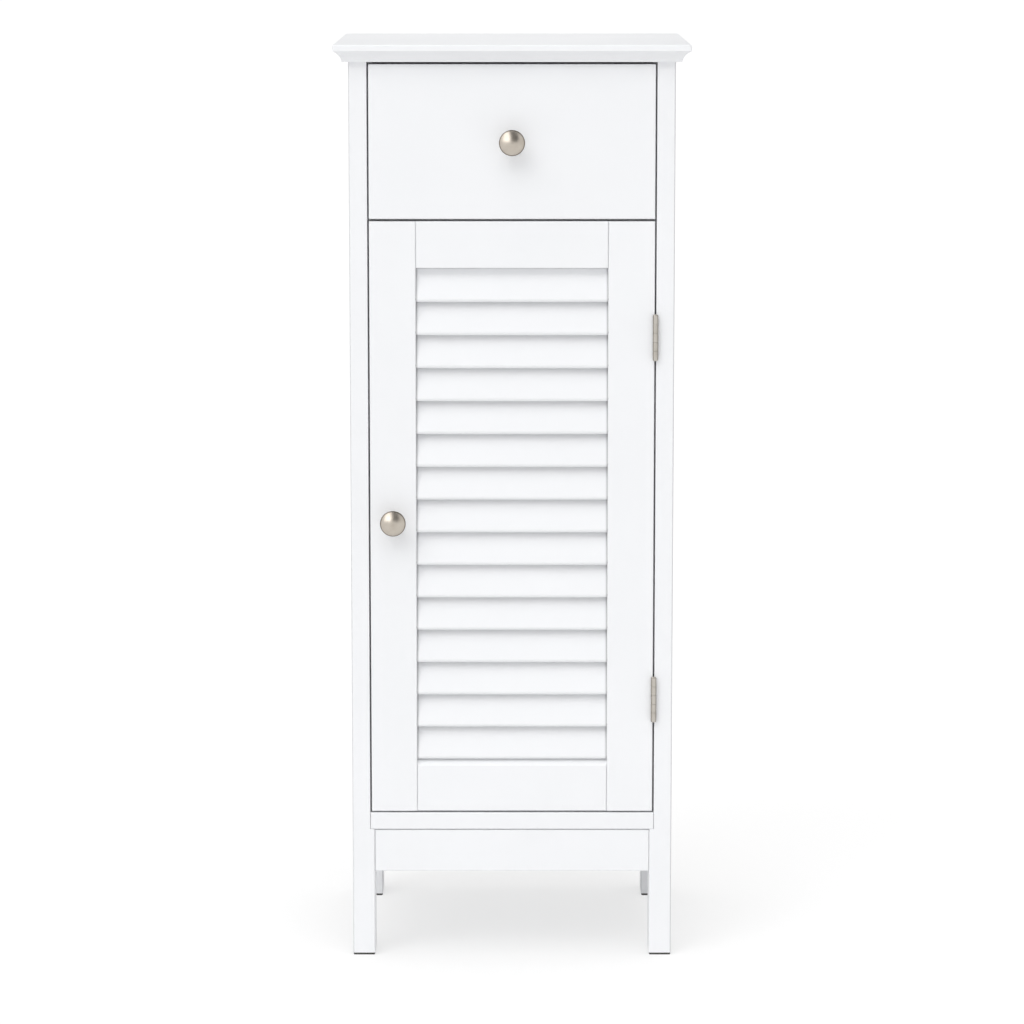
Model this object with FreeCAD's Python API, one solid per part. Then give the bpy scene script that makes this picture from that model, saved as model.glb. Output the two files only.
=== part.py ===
import FreeCAD, Part
import math
import os

Vector = FreeCAD.Vector

# Louvred door cabinet. Millimetres, +Z up, front towards -Y, floor at Z = 0,
# origin under the middle of the whole cabinet, knobs included.

# ---------------------------------------------------------------- driving dimensions

# Whole cabinet
BODY_WIDTH = 302.0
BODY_DEPTH = 262.0
OVERALL_HEIGHT = 862.0

# Top board and its moulded edge: a square band over a shallow cove over a small lip
TOP_THICKNESS = 16.0
TOP_FRONT_OVERHANG = 14.0
TOP_SIDE_OVERHANG = 14.0
TOP_REAR_OVERHANG = 24.0
COVE_WIDTH = 8.3
COVE_HEIGHT = 9.0
COVE_SAG = 1.4
LIP_HEIGHT = 1.2
TOP_ARRIS = 1.4

# Posts, with the rebate that the door, the drawer front and the bottom panel sit in
POST_WIDTH = 21.0
POST_DEPTH = 38.0
POST_EASE = 1.5
REBATE_WIDTH = 4.1
REBATE_EASE = 0.5

# Glide pads under the feet
GLIDE_THICKNESS = 2.0
GLIDE_INSET = 0.4
GLIDE_CORNER = 1.2
GLIDE_CHAMFER = 0.4
GLIDE_NAIL_DIAMETER = 2.0
GLIDE_NAIL_LENGTH = 14.0

# Aprons and panels
APRON_UNDERSIDE = 81.5
APRON_HEIGHT = 41.0
APRON_THICKNESS = 16.0
APRON_SETBACK = 1.0
APRON_GROOVE_HEIGHT = 1.0
APRON_GROOVE_DEPTH = 2.5
BOTTOM_THICKNESS = 16.0
DIVIDER_THICKNESS = 15.0
SIDE_PANEL_THICKNESS = 12.0
SIDE_PANEL_INSET = 4.5
SIDE_PANEL_TONGUE = 6.0
BACK_PANEL_THICKNESS = 3.0
BACK_PANEL_INSET = 8.0
BACK_PANEL_TONGUE = 5.0
JOINERY_FIT = 0.1

# Gaps round the inset fronts
FRONT_THICKNESS = 18.0
STOP_CLEARANCE = 0.3
SIDE_GAP = 1.5
TOP_GAP = 2.2
MIDDLE_GAP = 2.1
BOTTOM_GAP = 1.7
RAIL_END_GAP = 0.3
FRONT_EASE = 1.0

# Louvred door
STILE_WIDTH = 43.1
TOP_RAIL_HEIGHT = 43.2
BOTTOM_RAIL_HEIGHT = 49.3
SILL_CHAMFER = 5.8
STILE_CHAMFER = 0.6
SEAM_WIDTH = 0.5
SEAM_DEPTH = 1.5
TENON_LENGTH = 12.0
TENON_THICKNESS = 8.0
TENON_SHOULDER = 6.0
SLAT_COUNT = 15
SLAT_WIDTH = 34.5
SLAT_THICKNESS = 5.5
SLAT_TILT = 17.0
SLAT_SETBACK = 0.5
SLAT_HOUSING_DEPTH = 5.0
SLAT_FIT = 0.1
SILL_CLEARANCE = 0.6
HEAD_LAP = 1.2

# Drawer
DRAWER_FRONT_HEIGHT = 142.8
DRAWER_BACK_CLEARANCE = 13.0
DRAWER_SIDE_HEIGHT = 100.0
DRAWER_SIDE_THICKNESS = 12.0
DRAWER_BOX_LIFT = 11.0
DRAWER_BOX_CLEARANCE = 2.5
DRAWER_BOTTOM_THICKNESS = 3.0
DRAWER_BOTTOM_LIFT = 8.0
DRAWER_BOTTOM_TONGUE = 5.0
DRAWER_BOX_EASE = 1.5
RUNNER_WIDTH = 8.0
RUNNER_HEIGHT = 12.0
RUNNER_LIFT = 43.0
RUNNER_FRONT_CLEARANCE = 3.0
RUNNER_GROOVE_DEPTH = 6.0
RUNNER_SLIDE_CLEARANCE = 0.3

# Knobs
KNOB_DIAMETER = 24.0
KNOB_PROJECTION = 24.0
KNOB_FLANGE_DIAMETER = 14.0
KNOB_FLANGE_HEIGHT = 1.4
KNOB_NECK_DIAMETER = 9.4
KNOB_NECK_FOOT = 5.0
KNOB_NECK_TOP = 10.7
KNOB_WAIST_SHARE = 1 / 3
KNOB_THROAT_DIAMETER = 13.0
KNOB_THROAT_TOP = 14.3
KNOB_RIM_ROLL = 0.9
KNOB_RIM_BOTTOM = 16.1
KNOB_RIM_TOP = 19.0
KNOB_THREAD_DEPTH = 12.0
DOOR_KNOB_HEIGHT = 278.0

# Butt hinges
HINGE_INSET = 108.0
HINGE_LENGTH = 41.4
HINGE_KNUCKLES = 5
KNUCKLE_GAP = 0.2
KNUCKLE_RADIUS = 2.6
HINGE_AXIS_PROUD = 2.9
LEAF_THICKNESS = 1.0
LEAF_WIDTH = 16.5
LEAF_SPACING = 0.3
LEAF_FIT = 0.1
PIN_RADIUS = 1.1
PIN_CLEARANCE = 0.05
PIN_CAP_RADIUS = 2.3
PIN_CAP_HEIGHT = 1.4
PIN_CAP_RIM = 0.5

# Adjustable shelf
SHELF_THICKNESS = 15.0
SHELF_HEIGHT = 415.0
SHELF_FRONT_SETBACK = 22.0
SHELF_BACK_CLEARANCE = 4.0
SHELF_PIN_RADIUS = 2.5
SHELF_PIN_DEPTH = 8.0
SHELF_PIN_HOLE_DEPTH = 9.0
SHELF_PIN_REACH = 7.0
SHELF_PIN_TAB_RADIUS = 3.5
SHELF_PIN_COLLAR_RADIUS = 4.5
SHELF_PIN_COLLAR_THICKNESS = 1.0
SHELF_PIN_PITCH = 32.0
SHELF_PIN_ROWS_EACH_WAY = 1

# Magnetic catch, under the divider beside the knob side stile
CATCH_FROM_STILE = 20.0
CATCH_FLANGE_LENGTH = 44.0
CATCH_FLANGE_THICKNESS = 2.5
CATCH_BODY_LENGTH = 26.0
CATCH_BODY_DEPTH = 14.0
CATCH_BODY_HEIGHT = 11.0
CATCH_MAGNET_LENGTH = 18.0
CATCH_MAGNET_DEPTH = 9.0
CATCH_MAGNET_HEIGHT = 6.0
CATCH_MAGNET_PROUD = 1.2
STRIKE_LENGTH = 20.0
STRIKE_HEIGHT = 9.0
STRIKE_THICKNESS = 1.0
STRIKE_CORNER = 1.5

# Dowels, cam fittings and screws
DOWEL_DIAMETER = 8.0
DOWEL_LENGTH = 30.0
TOP_DOWEL_REACH = 10.0
APRON_DOWEL_SPACING = 20.0
CAM_DIAMETER = 15.0
CAM_DEPTH = 12.0
CAM_DISTANCE = 24.0
CAM_SLOT_LENGTH = 10.0
CAM_SLOT_WIDTH = 2.0
CAM_SLOT_DEPTH = 1.5
CAM_MOUTH_DIAMETER = 7.0
CAM_BOLT_DIAMETER = 6.0
CAM_BOLT_NECK_DIAMETER = 4.0
CAM_BOLT_HEAD_LENGTH = 2.0
CAM_BOLT_THREAD = 11.0
SCREW_SLACK = 0.05
SCREW_POINT_DIAMETER = 0.6
PAN_HEAD_TOP_SHARE = 2 / 3
PAN_HEAD_HEIGHT_SHARE = 1 / 3
BACK_SCREW_SPREAD_SHARE = 2 / 3

# Screws: shank diameter, head diameter, length
HINGE_SCREW = (3.0, 5.4, 14.0)
RUNNER_SCREW = (3.5, 6.5, 20.0)
BACK_SCREW = (3.0, 6.5, 16.0)
CATCH_SCREW = (3.0, 5.5, 14.0)
STRIKE_SCREW = (3.0, 5.5, 13.0)
BOX_SCREW = (4.0, 7.5, 24.0)
KNOB_SCREW_DIAMETER = 4.0
KNOB_SCREW_HEAD_DIAMETER = 8.0
KNOB_SCREW_HEAD_HEIGHT = 2.4
KNOB_SCREW_HEAD_ROUND = 0.8

# ---------------------------------------------------------------- places that follow from them

FRONT_REACH = max(KNOB_PROJECTION, TOP_FRONT_OVERHANG)
OVERALL_DEPTH = FRONT_REACH + BODY_DEPTH + TOP_REAR_OVERHANG
FRONT_Y = FRONT_REACH - OVERALL_DEPTH / 2
REAR_Y = FRONT_Y + BODY_DEPTH
FRONTS_BACK_Y = FRONT_Y + FRONT_THICKNESS
SHOULDER_Y = FRONTS_BACK_Y + STOP_CLEARANCE
FRONT_POST_BACK_Y = FRONT_Y + POST_DEPTH
REAR_POST_FRONT_Y = REAR_Y - POST_DEPTH
BACK_PANEL_REAR_Y = REAR_Y - BACK_PANEL_INSET
BACK_PANEL_FRONT_Y = BACK_PANEL_REAR_Y - BACK_PANEL_THICKNESS

OUTER_X = BODY_WIDTH / 2
INNER_X = OUTER_X - POST_WIDTH
REBATE_X = INNER_X + REBATE_WIDTH
FRONTS_X = REBATE_X - SIDE_GAP
SIDE_PANEL_OUTER_X = OUTER_X - SIDE_PANEL_INSET
SIDE_PANEL_INNER_X = SIDE_PANEL_OUTER_X - SIDE_PANEL_THICKNESS
POST_MIDDLE_X = (OUTER_X + INNER_X) / 2

TOP_UNDERSIDE = OVERALL_HEIGHT - TOP_THICKNESS
APRON_TOP = APRON_UNDERSIDE + APRON_HEIGHT
BOTTOM_TOP = APRON_TOP + BOTTOM_THICKNESS
DRAWER_FRONT_TOP = TOP_UNDERSIDE - TOP_GAP
DRAWER_FRONT_UNDERSIDE = DRAWER_FRONT_TOP - DRAWER_FRONT_HEIGHT
DOOR_TOP = DRAWER_FRONT_UNDERSIDE - MIDDLE_GAP
DOOR_UNDERSIDE = BOTTOM_TOP + BOTTOM_GAP
DIVIDER_MIDDLE = (DRAWER_FRONT_UNDERSIDE + DOOR_TOP) / 2
DIVIDER_UNDERSIDE = DIVIDER_MIDDLE - DIVIDER_THICKNESS / 2
DIVIDER_TOP = DIVIDER_MIDDLE + DIVIDER_THICKNESS / 2
BOTTOM_PANEL_FACES = (APRON_TOP, BOTTOM_TOP)
DIVIDER_FACES = (DIVIDER_UNDERSIDE, DIVIDER_TOP)
CAMMED_PANELS = (BOTTOM_PANEL_FACES, DIVIDER_FACES)

OPENING_X = FRONTS_X - STILE_WIDTH
OPENING_TOP = DOOR_TOP - TOP_RAIL_HEIGHT
OPENING_SILL = DOOR_UNDERSIDE + BOTTOM_RAIL_HEIGHT
TENON_MIDDLE_Y = FRONT_Y + FRONT_THICKNESS / 2

HINGE_X = (FRONTS_X + REBATE_X) / 2
HINGE_Y = FRONT_Y - HINGE_AXIS_PROUD
HINGE_HEIGHTS = {"upper": DOOR_TOP - HINGE_INSET, "lower": DOOR_UNDERSIDE + HINGE_INSET}

BOX_OUTER_X = INNER_X - DRAWER_BOX_CLEARANCE
BOX_INNER_X = BOX_OUTER_X - DRAWER_SIDE_THICKNESS
BOX_UNDERSIDE = DRAWER_FRONT_UNDERSIDE + DRAWER_BOX_LIFT
BOX_TOP = BOX_UNDERSIDE + DRAWER_SIDE_HEIGHT
BOX_BACK_Y = BACK_PANEL_FRONT_Y - DRAWER_BACK_CLEARANCE
BOX_BOTTOM_Z = BOX_UNDERSIDE + DRAWER_BOTTOM_LIFT
RUNNER_UNDERSIDE = BOX_UNDERSIDE + RUNNER_LIFT
RUNNER_FRONT_Y = FRONTS_BACK_Y + RUNNER_FRONT_CLEARANCE

KNOB_X = (FRONTS_X + OPENING_X) / 2
DOOR_KNOB_Z = DOOR_UNDERSIDE + DOOR_KNOB_HEIGHT
DRAWER_KNOB_Z = (DRAWER_FRONT_TOP + DRAWER_FRONT_UNDERSIDE) / 2

SHELF_PIN_FRONT_Y = (SHOULDER_Y + FRONT_POST_BACK_Y) / 2
SHELF_PIN_REAR_Y = (REAR_POST_FRONT_Y + BACK_PANEL_FRONT_Y) / 2
SHELF_PIN_Z = SHELF_HEIGHT - SHELF_THICKNESS

CATCH_X = -(OPENING_X - CATCH_FROM_STILE)
CATCH_FRONT_Y = FRONTS_BACK_Y + STRIKE_THICKNESS + STOP_CLEARANCE + CATCH_MAGNET_PROUD
CATCH_MIDDLE_Z = DIVIDER_UNDERSIDE - CATCH_BODY_HEIGHT / 2

FRONT_DOWEL_Y = (SHOULDER_Y + FRONT_POST_BACK_Y - SIDE_PANEL_TONGUE) / 2
REAR_DOWEL_Y = (REAR_POST_FRONT_Y + SIDE_PANEL_TONGUE + BACK_PANEL_FRONT_Y) / 2

RIGHT = Vector(1, 0, 0)
LEFT = Vector(-1, 0, 0)
BACK = Vector(0, 1, 0)
FRONT = Vector(0, -1, 0)
UP = Vector(0, 0, 1)
DOWN = Vector(0, 0, -1)
CUT_MARGIN = 5.0


# ---------------------------------------------------------------- helpers

def block(x0, x1, y0, y1, z0, z1):
    """Box between two corners."""
    return Part.makeBox(x1 - x0, y1 - y0, z1 - z0, Vector(x0, y0, z0))


def rod(start, direction, diameter, length):
    """Round bar from a start point."""
    return Part.makeCylinder(diameter / 2, length, start, direction)


def mirrored(shape):
    """The same shape on the other side of the cabinet's middle plane."""
    return shape.mirror(Vector(0, 0, 0), RIGHT)


def both_sides(shape):
    return [mirrored(shape), shape]


def joined(shapes):
    """Several touching shapes as one solid."""
    return shapes[0].fuse(shapes[1:]).removeSplitter()


def straight_edges(shape, axis, chosen):
    """Straight edges along an axis whose middle point passes the test."""
    found = []
    for edge in shape.Edges:
        if not isinstance(edge.Curve, Part.Line):
            continue
        along = edge.Curve.Direction
        if abs(abs(along.dot(axis)) - 1) < 1e-6 and chosen(edge.CenterOfMass):
            found.append(edge)
    return found


def near(a, b):
    return abs(a - b) < 1e-4


def eased(shape, radius, axis, chosen):
    return shape.makeFillet(radius, straight_edges(shape, axis, chosen))


def chamfered(shape, size, axis, chosen):
    return shape.makeChamfer(size, straight_edges(shape, axis, chosen))


def pointed_shaft(start, direction, shank, length, slack):
    """Round shaft whose last stretch, as long as it is thick, tapers to the screw's point."""
    shaft = Part.makeCylinder(shank / 2 + slack, length - shank, start, direction)
    shoulder = start + direction * (length - shank)
    point_radius = SCREW_POINT_DIAMETER / 2 + slack
    point = Part.makeCone(shank / 2 + slack, point_radius, shank + slack, shoulder, direction)
    return [shaft, point]


def countersunk_screw(start, direction, sizes, slack=0.0):
    """Flat-headed screw: start is the middle of the head's flat face."""
    shank, head, length = sizes
    cone_height = (head - shank) / 2
    cone = Part.makeCone(head / 2 + slack, shank / 2 + slack, cone_height, start, direction)
    neck = start + direction * cone_height
    return joined([cone] + pointed_shaft(neck, direction, shank, length - cone_height, slack))


def pan_head_screw(seat, direction, sizes, slack=0.0):
    """Round-headed screw: seat is the middle of the face that its head bears on."""
    shank, head, length = sizes
    body = pointed_shaft(seat, direction, shank, length, slack)
    if slack:
        return joined(body)
    top_radius = head / 2 * PAN_HEAD_TOP_SHARE
    cap = Part.makeCone(head / 2, top_radius, head * PAN_HEAD_HEIGHT_SHARE, seat, direction * -1)
    return joined([cap] + body)


# ---------------------------------------------------------------- fixings

def top_dowel_places():
    places = []
    for x in (-POST_MIDDLE_X, POST_MIDDLE_X):
        for y in (FRONT_DOWEL_Y, REAR_DOWEL_Y):
            places.append(Vector(x, y, TOP_UNDERSIDE + TOP_DOWEL_REACH - DOWEL_LENGTH))
    return places


def apron_dowel_places():
    """Start points on the right; each dowel is half in the apron and half in the post."""
    places = []
    middle_z = (APRON_UNDERSIDE + APRON_TOP) / 2
    for y in (FRONT_Y + APRON_SETBACK + APRON_THICKNESS / 2, REAR_Y - APRON_SETBACK - APRON_THICKNESS / 2):
        for z in (middle_z - APRON_DOWEL_SPACING / 2, middle_z + APRON_DOWEL_SPACING / 2):
            places.append(Vector(INNER_X - DOWEL_LENGTH / 2, y, z))
    return places


def dowels():
    pieces = [rod(place, UP, DOWEL_DIAMETER, DOWEL_LENGTH) for place in top_dowel_places()]
    for place in apron_dowel_places():
        pieces += both_sides(rod(place, RIGHT, DOWEL_DIAMETER, DOWEL_LENGTH))
    return pieces


def cam_places(panel):
    """Where a panel's right-hand cam bolts leave the posts' inner faces, at its mid thickness."""
    underside, top = panel
    return [Vector(INNER_X, y, (underside + top) / 2) for y in (SHELF_PIN_FRONT_Y, SHELF_PIN_REAR_Y)]


def cam_bolt(place):
    thread = rod(place, RIGHT, CAM_BOLT_DIAMETER, CAM_BOLT_THREAD)
    neck = rod(place, LEFT, CAM_BOLT_NECK_DIAMETER, CAM_DISTANCE)
    head = rod(place + LEFT * CAM_DISTANCE, LEFT, CAM_BOLT_DIAMETER, CAM_BOLT_HEAD_LENGTH)
    return joined([thread, neck, head])


def cam_nut(place, underside):
    """Round cam, open on the bolt's side, with a cross slot in the face that is turned."""
    centre = Vector(place.x - CAM_DISTANCE, place.y, underside)
    body = rod(centre, UP, CAM_DIAMETER, CAM_DEPTH)
    mouth = rod(place, LEFT, CAM_MOUTH_DIAMETER, CAM_DISTANCE + CAM_MOUTH_DIAMETER / 2)
    half = CAM_SLOT_LENGTH / 2
    slot = CAM_SLOT_WIDTH / 2
    cross_a = block(-half, half, -slot, slot, -CUT_MARGIN, CAM_SLOT_DEPTH)
    cross_b = block(-slot, slot, -half, half, -CUT_MARGIN, CAM_SLOT_DEPTH)
    cross_a.translate(centre)
    cross_b.translate(centre)
    return body.cut([mouth, cross_a, cross_b])


def cam_bolts():
    pieces = []
    for panel in CAMMED_PANELS:
        for place in cam_places(panel):
            pieces += both_sides(cam_bolt(place))
    return pieces


def cam_nuts():
    pieces = []
    for panel in CAMMED_PANELS:
        for place in cam_places(panel):
            pieces += both_sides(cam_nut(place, panel[0]))
    return pieces


def cam_recesses(panel):
    """Bores in a panel for its cams, and round the bolts' necks."""
    cutters = []
    for place in cam_places(panel):
        centre = Vector(place.x - CAM_DISTANCE, place.y, panel[0])
        cam_bore = rod(centre + DOWN * CUT_MARGIN, UP, CAM_DIAMETER, CAM_DEPTH + CUT_MARGIN)
        neck_bore = rod(place + RIGHT * CUT_MARGIN, LEFT, CAM_BOLT_DIAMETER, CAM_DISTANCE + CUT_MARGIN)
        cutters += both_sides(cam_bore) + both_sides(neck_bore)
    return cutters


def hinge_screws(side, slack=0.0):
    """Two screws in each leaf; side is RIGHT for the post and LEFT for the door."""
    pieces = []
    spread = HINGE_LENGTH / 2 - HINGE_SCREW[1]
    leaf_face = HINGE_X + side.x * LEAF_SPACING / 2
    middle_y = FRONT_Y + LEAF_WIDTH / 2
    for height in HINGE_HEIGHTS.values():
        for z in (height - spread, height + spread):
            start = Vector(leaf_face, middle_y, z)
            pieces.append(countersunk_screw(start, side, HINGE_SCREW, slack))
    return pieces


def runner_screws(slack=0.0):
    pieces = []
    for y in (SHELF_PIN_FRONT_Y, SHELF_PIN_REAR_Y):
        start = Vector(INNER_X - RUNNER_WIDTH, y, RUNNER_UNDERSIDE + RUNNER_HEIGHT / 2)
        pieces += both_sides(countersunk_screw(start, RIGHT, RUNNER_SCREW, slack))
    return pieces


def back_screws(slack=0.0):
    """Three along the bottom panel's rear edge and three along the divider's."""
    pieces = []
    reach = INNER_X * BACK_SCREW_SPREAD_SHARE
    for z in ((APRON_TOP + BOTTOM_TOP) / 2, DIVIDER_MIDDLE):
        for x in (-reach, 0, reach):
            pieces.append(pan_head_screw(Vector(x, BACK_PANEL_REAR_Y, z), FRONT, BACK_SCREW, slack))
    return pieces


def catch_screws(slack=0.0):
    pieces = []
    spread = (CATCH_FLANGE_LENGTH + CATCH_BODY_LENGTH) / 4
    z = DIVIDER_UNDERSIDE - CATCH_FLANGE_THICKNESS
    for x in (CATCH_X - spread, CATCH_X + spread):
        seat = Vector(x, CATCH_FRONT_Y + CATCH_BODY_DEPTH / 2, z)
        pieces.append(pan_head_screw(seat, UP, CATCH_SCREW, slack))
    return pieces


def strike_screw(slack=0.0):
    start = Vector(CATCH_X, FRONTS_BACK_Y + STRIKE_THICKNESS, CATCH_MIDDLE_Z)
    return countersunk_screw(start, FRONT, STRIKE_SCREW, slack)


def box_screws(slack=0.0):
    """Two screws from inside the drawer box into the drawer front."""
    pieces = []
    seat_y = FRONTS_BACK_Y + DRAWER_SIDE_THICKNESS
    for x in (-BOX_INNER_X / 2, BOX_INNER_X / 2):
        pieces.append(pan_head_screw(Vector(x, seat_y, DRAWER_KNOB_Z), FRONT, BOX_SCREW, slack))
    return pieces


def knob_screw(x, z, seat_y):
    """Machine screw through a front into its knob, head on the inside."""
    seat = Vector(x, seat_y, z)
    length = seat_y - FRONT_Y + KNOB_THREAD_DEPTH - KNOB_SCREW_DIAMETER / 2
    shaft = rod(seat, FRONT, KNOB_SCREW_DIAMETER, length)
    head = rod(seat, BACK, KNOB_SCREW_HEAD_DIAMETER, KNOB_SCREW_HEAD_HEIGHT)
    outer_rim = [edge for edge in head.Edges if near(edge.CenterOfMass.y, seat_y + KNOB_SCREW_HEAD_HEIGHT)]
    return joined([shaft, head.makeFillet(KNOB_SCREW_HEAD_ROUND, outer_rim)])


def knob_bore(x, z, seat_y):
    start = Vector(x, FRONT_Y - CUT_MARGIN, z)
    return rod(start, BACK, KNOB_SCREW_DIAMETER + 2 * SCREW_SLACK, seat_y - FRONT_Y + 2 * CUT_MARGIN)


# ---------------------------------------------------------------- top board

def cove_cutter(corner, inward, along, length):
    """What the cove takes off one side: corner is on the underside, at the side's outer plane."""
    def point(u, w):
        return corner + inward * u + UP * w
    cove_top = LIP_HEIGHT + COVE_HEIGHT
    slope = math.hypot(COVE_WIDTH, COVE_HEIGHT)
    middle_u = COVE_WIDTH / 2 + COVE_SAG * COVE_HEIGHT / slope
    middle_w = LIP_HEIGHT + COVE_HEIGHT / 2 + COVE_SAG * COVE_WIDTH / slope
    outline = [
        Part.Arc(point(0, cove_top), point(middle_u, middle_w), point(COVE_WIDTH, LIP_HEIGHT)).toShape(),
        Part.makeLine(point(COVE_WIDTH, LIP_HEIGHT), point(COVE_WIDTH, -CUT_MARGIN)),
        Part.makeLine(point(COVE_WIDTH, -CUT_MARGIN), point(-CUT_MARGIN, -CUT_MARGIN)),
        Part.makeLine(point(-CUT_MARGIN, -CUT_MARGIN), point(-CUT_MARGIN, cove_top)),
        Part.makeLine(point(-CUT_MARGIN, cove_top), point(0, cove_top)),
    ]
    return Part.Face(Part.Wire(outline)).extrude(along * length)


def top_panel():
    """Top board, moulded on the front and both sides, square at the rear."""
    half = OUTER_X + TOP_SIDE_OVERHANG
    front = FRONT_Y - TOP_FRONT_OVERHANG
    rear = REAR_Y + TOP_REAR_OVERHANG
    board = block(-half, half, front, rear, TOP_UNDERSIDE, OVERALL_HEIGHT)
    width = 2 * half
    depth = rear - front
    cutters = [
        cove_cutter(Vector(-half, front, TOP_UNDERSIDE), BACK, RIGHT, width),
        cove_cutter(Vector(-half, front, TOP_UNDERSIDE), RIGHT, BACK, depth),
        cove_cutter(Vector(half, front, TOP_UNDERSIDE), LEFT, BACK, depth),
    ]
    bores = [rod(place, UP, DOWEL_DIAMETER, DOWEL_LENGTH) for place in top_dowel_places()]
    board = board.cut(cutters + bores)
    board = eased(board, TOP_ARRIS, RIGHT, lambda p: near(p.z, OVERALL_HEIGHT))
    return eased(board, TOP_ARRIS, BACK, lambda p: near(p.z, OVERALL_HEIGHT))


# ---------------------------------------------------------------- posts

def plain_post(y0, y1):
    post = block(INNER_X, OUTER_X, y0, y1, GLIDE_THICKNESS, TOP_UNDERSIDE)
    return eased(post, POST_EASE, UP, lambda p: True)


def side_groove(y0, y1):
    """Groove for the side panel's tongue, stopped at the panel's lower edge."""
    return block(SIDE_PANEL_INNER_X - JOINERY_FIT, SIDE_PANEL_OUTER_X + JOINERY_FIT, y0, y1,
                 APRON_UNDERSIDE - JOINERY_FIT, TOP_UNDERSIDE + CUT_MARGIN)


def post_bores():
    """Right-hand bores for dowels, cam bolts, glide nails and shelf pins."""
    bores = [rod(place, UP, DOWEL_DIAMETER, DOWEL_LENGTH) for place in top_dowel_places()]
    bores += [rod(place, RIGHT, DOWEL_DIAMETER, DOWEL_LENGTH) for place in apron_dowel_places()]
    for panel in CAMMED_PANELS:
        bores += [rod(place, RIGHT, CAM_BOLT_DIAMETER, CAM_BOLT_THREAD) for place in cam_places(panel)]
    bores += [glide_nail(place) for place in glide_places()]
    for y in (SHELF_PIN_FRONT_Y, SHELF_PIN_REAR_Y):
        for row in range(-SHELF_PIN_ROWS_EACH_WAY, SHELF_PIN_ROWS_EACH_WAY + 1):
            mouth = Vector(INNER_X, y, SHELF_PIN_Z + row * SHELF_PIN_PITCH)
            bores.append(rod(mouth, RIGHT, 2 * SHELF_PIN_RADIUS, SHELF_PIN_HOLE_DEPTH))
    return bores


def front_post():
    """Front post: the rebate stops on the bottom panel's underside, so the leg below is whole."""
    post = plain_post(FRONT_Y, FRONT_POST_BACK_Y)
    rebate = block(INNER_X - CUT_MARGIN, REBATE_X, FRONT_Y - CUT_MARGIN, SHOULDER_Y,
                   APRON_TOP, TOP_UNDERSIDE + CUT_MARGIN)
    groove = side_groove(FRONT_POST_BACK_Y - SIDE_PANEL_TONGUE - JOINERY_FIT, FRONT_POST_BACK_Y + CUT_MARGIN)
    post = post.cut([rebate, groove])
    return chamfered(post, REBATE_EASE, UP, lambda p: near(p.x, REBATE_X) and near(p.y, FRONT_Y))


def hinge_gains():
    """Shallow recesses in the right post's rebate wall for the hinge leaves."""
    leaf_back = HINGE_X + LEAF_SPACING / 2 + LEAF_THICKNESS
    reach = HINGE_LENGTH / 2 + LEAF_FIT
    gains = []
    for z in HINGE_HEIGHTS.values():
        gains.append(block(REBATE_X - CUT_MARGIN, leaf_back, FRONT_Y - CUT_MARGIN,
                           FRONT_Y + LEAF_WIDTH + LEAF_FIT, z - reach, z + reach))
    return gains


def front_right_post():
    cutters = post_bores() + hinge_gains() + hinge_screws(RIGHT, SCREW_SLACK)
    return front_post().cut(cutters + runner_screws(SCREW_SLACK))


def front_left_post():
    return mirrored(front_post().cut(post_bores() + runner_screws(SCREW_SLACK)))


def rear_right_post():
    post = plain_post(REAR_POST_FRONT_Y, REAR_Y)
    groove = side_groove(REAR_POST_FRONT_Y - CUT_MARGIN, REAR_POST_FRONT_Y + SIDE_PANEL_TONGUE + JOINERY_FIT)
    back_groove = block(INNER_X - CUT_MARGIN, INNER_X + BACK_PANEL_TONGUE + JOINERY_FIT,
                        BACK_PANEL_FRONT_Y - JOINERY_FIT, BACK_PANEL_REAR_Y + JOINERY_FIT,
                        APRON_TOP, TOP_UNDERSIDE + CUT_MARGIN)
    return post.cut([groove, back_groove] + post_bores() + runner_screws(SCREW_SLACK))


def rear_left_post():
    return mirrored(rear_right_post())


# ---------------------------------------------------------------- glides

def glide_places():
    places = []
    for x in (-POST_MIDDLE_X, POST_MIDDLE_X):
        for y in (FRONT_Y + POST_DEPTH / 2, REAR_Y - POST_DEPTH / 2):
            places.append(Vector(x, y, 0))
    return places


def glide_nail(place):
    return rod(place + UP * GLIDE_THICKNESS, UP, GLIDE_NAIL_DIAMETER, GLIDE_NAIL_LENGTH)


def foot_glides():
    """Moulded pads almost as large as the feet, each with its own nail."""
    reach_x = POST_WIDTH / 2 - GLIDE_INSET
    reach_y = POST_DEPTH / 2 - GLIDE_INSET
    pieces = []
    for place in glide_places():
        pad = block(place.x - reach_x, place.x + reach_x, place.y - reach_y, place.y + reach_y,
                    0, GLIDE_THICKNESS)
        pad = eased(pad, GLIDE_CORNER, UP, lambda p: True)
        lower_rim = [edge for edge in pad.Edges if near(edge.BoundBox.ZMax, 0)]
        pad = pad.makeChamfer(GLIDE_CHAMFER, lower_rim)
        pieces.append(joined([pad, glide_nail(place)]))
    return pieces


# ---------------------------------------------------------------- panels and aprons

def right_side_panel():
    return block(SIDE_PANEL_INNER_X, SIDE_PANEL_OUTER_X, FRONT_POST_BACK_Y - SIDE_PANEL_TONGUE,
                 REAR_POST_FRONT_Y + SIDE_PANEL_TONGUE, APRON_UNDERSIDE, TOP_UNDERSIDE)


def left_side_panel():
    return mirrored(right_side_panel())


def back_panel():
    reach = INNER_X + BACK_PANEL_TONGUE
    board = block(-reach, reach, BACK_PANEL_FRONT_Y, BACK_PANEL_REAR_Y, APRON_TOP, TOP_UNDERSIDE)
    return board.cut(back_screws(SCREW_SLACK))


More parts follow.
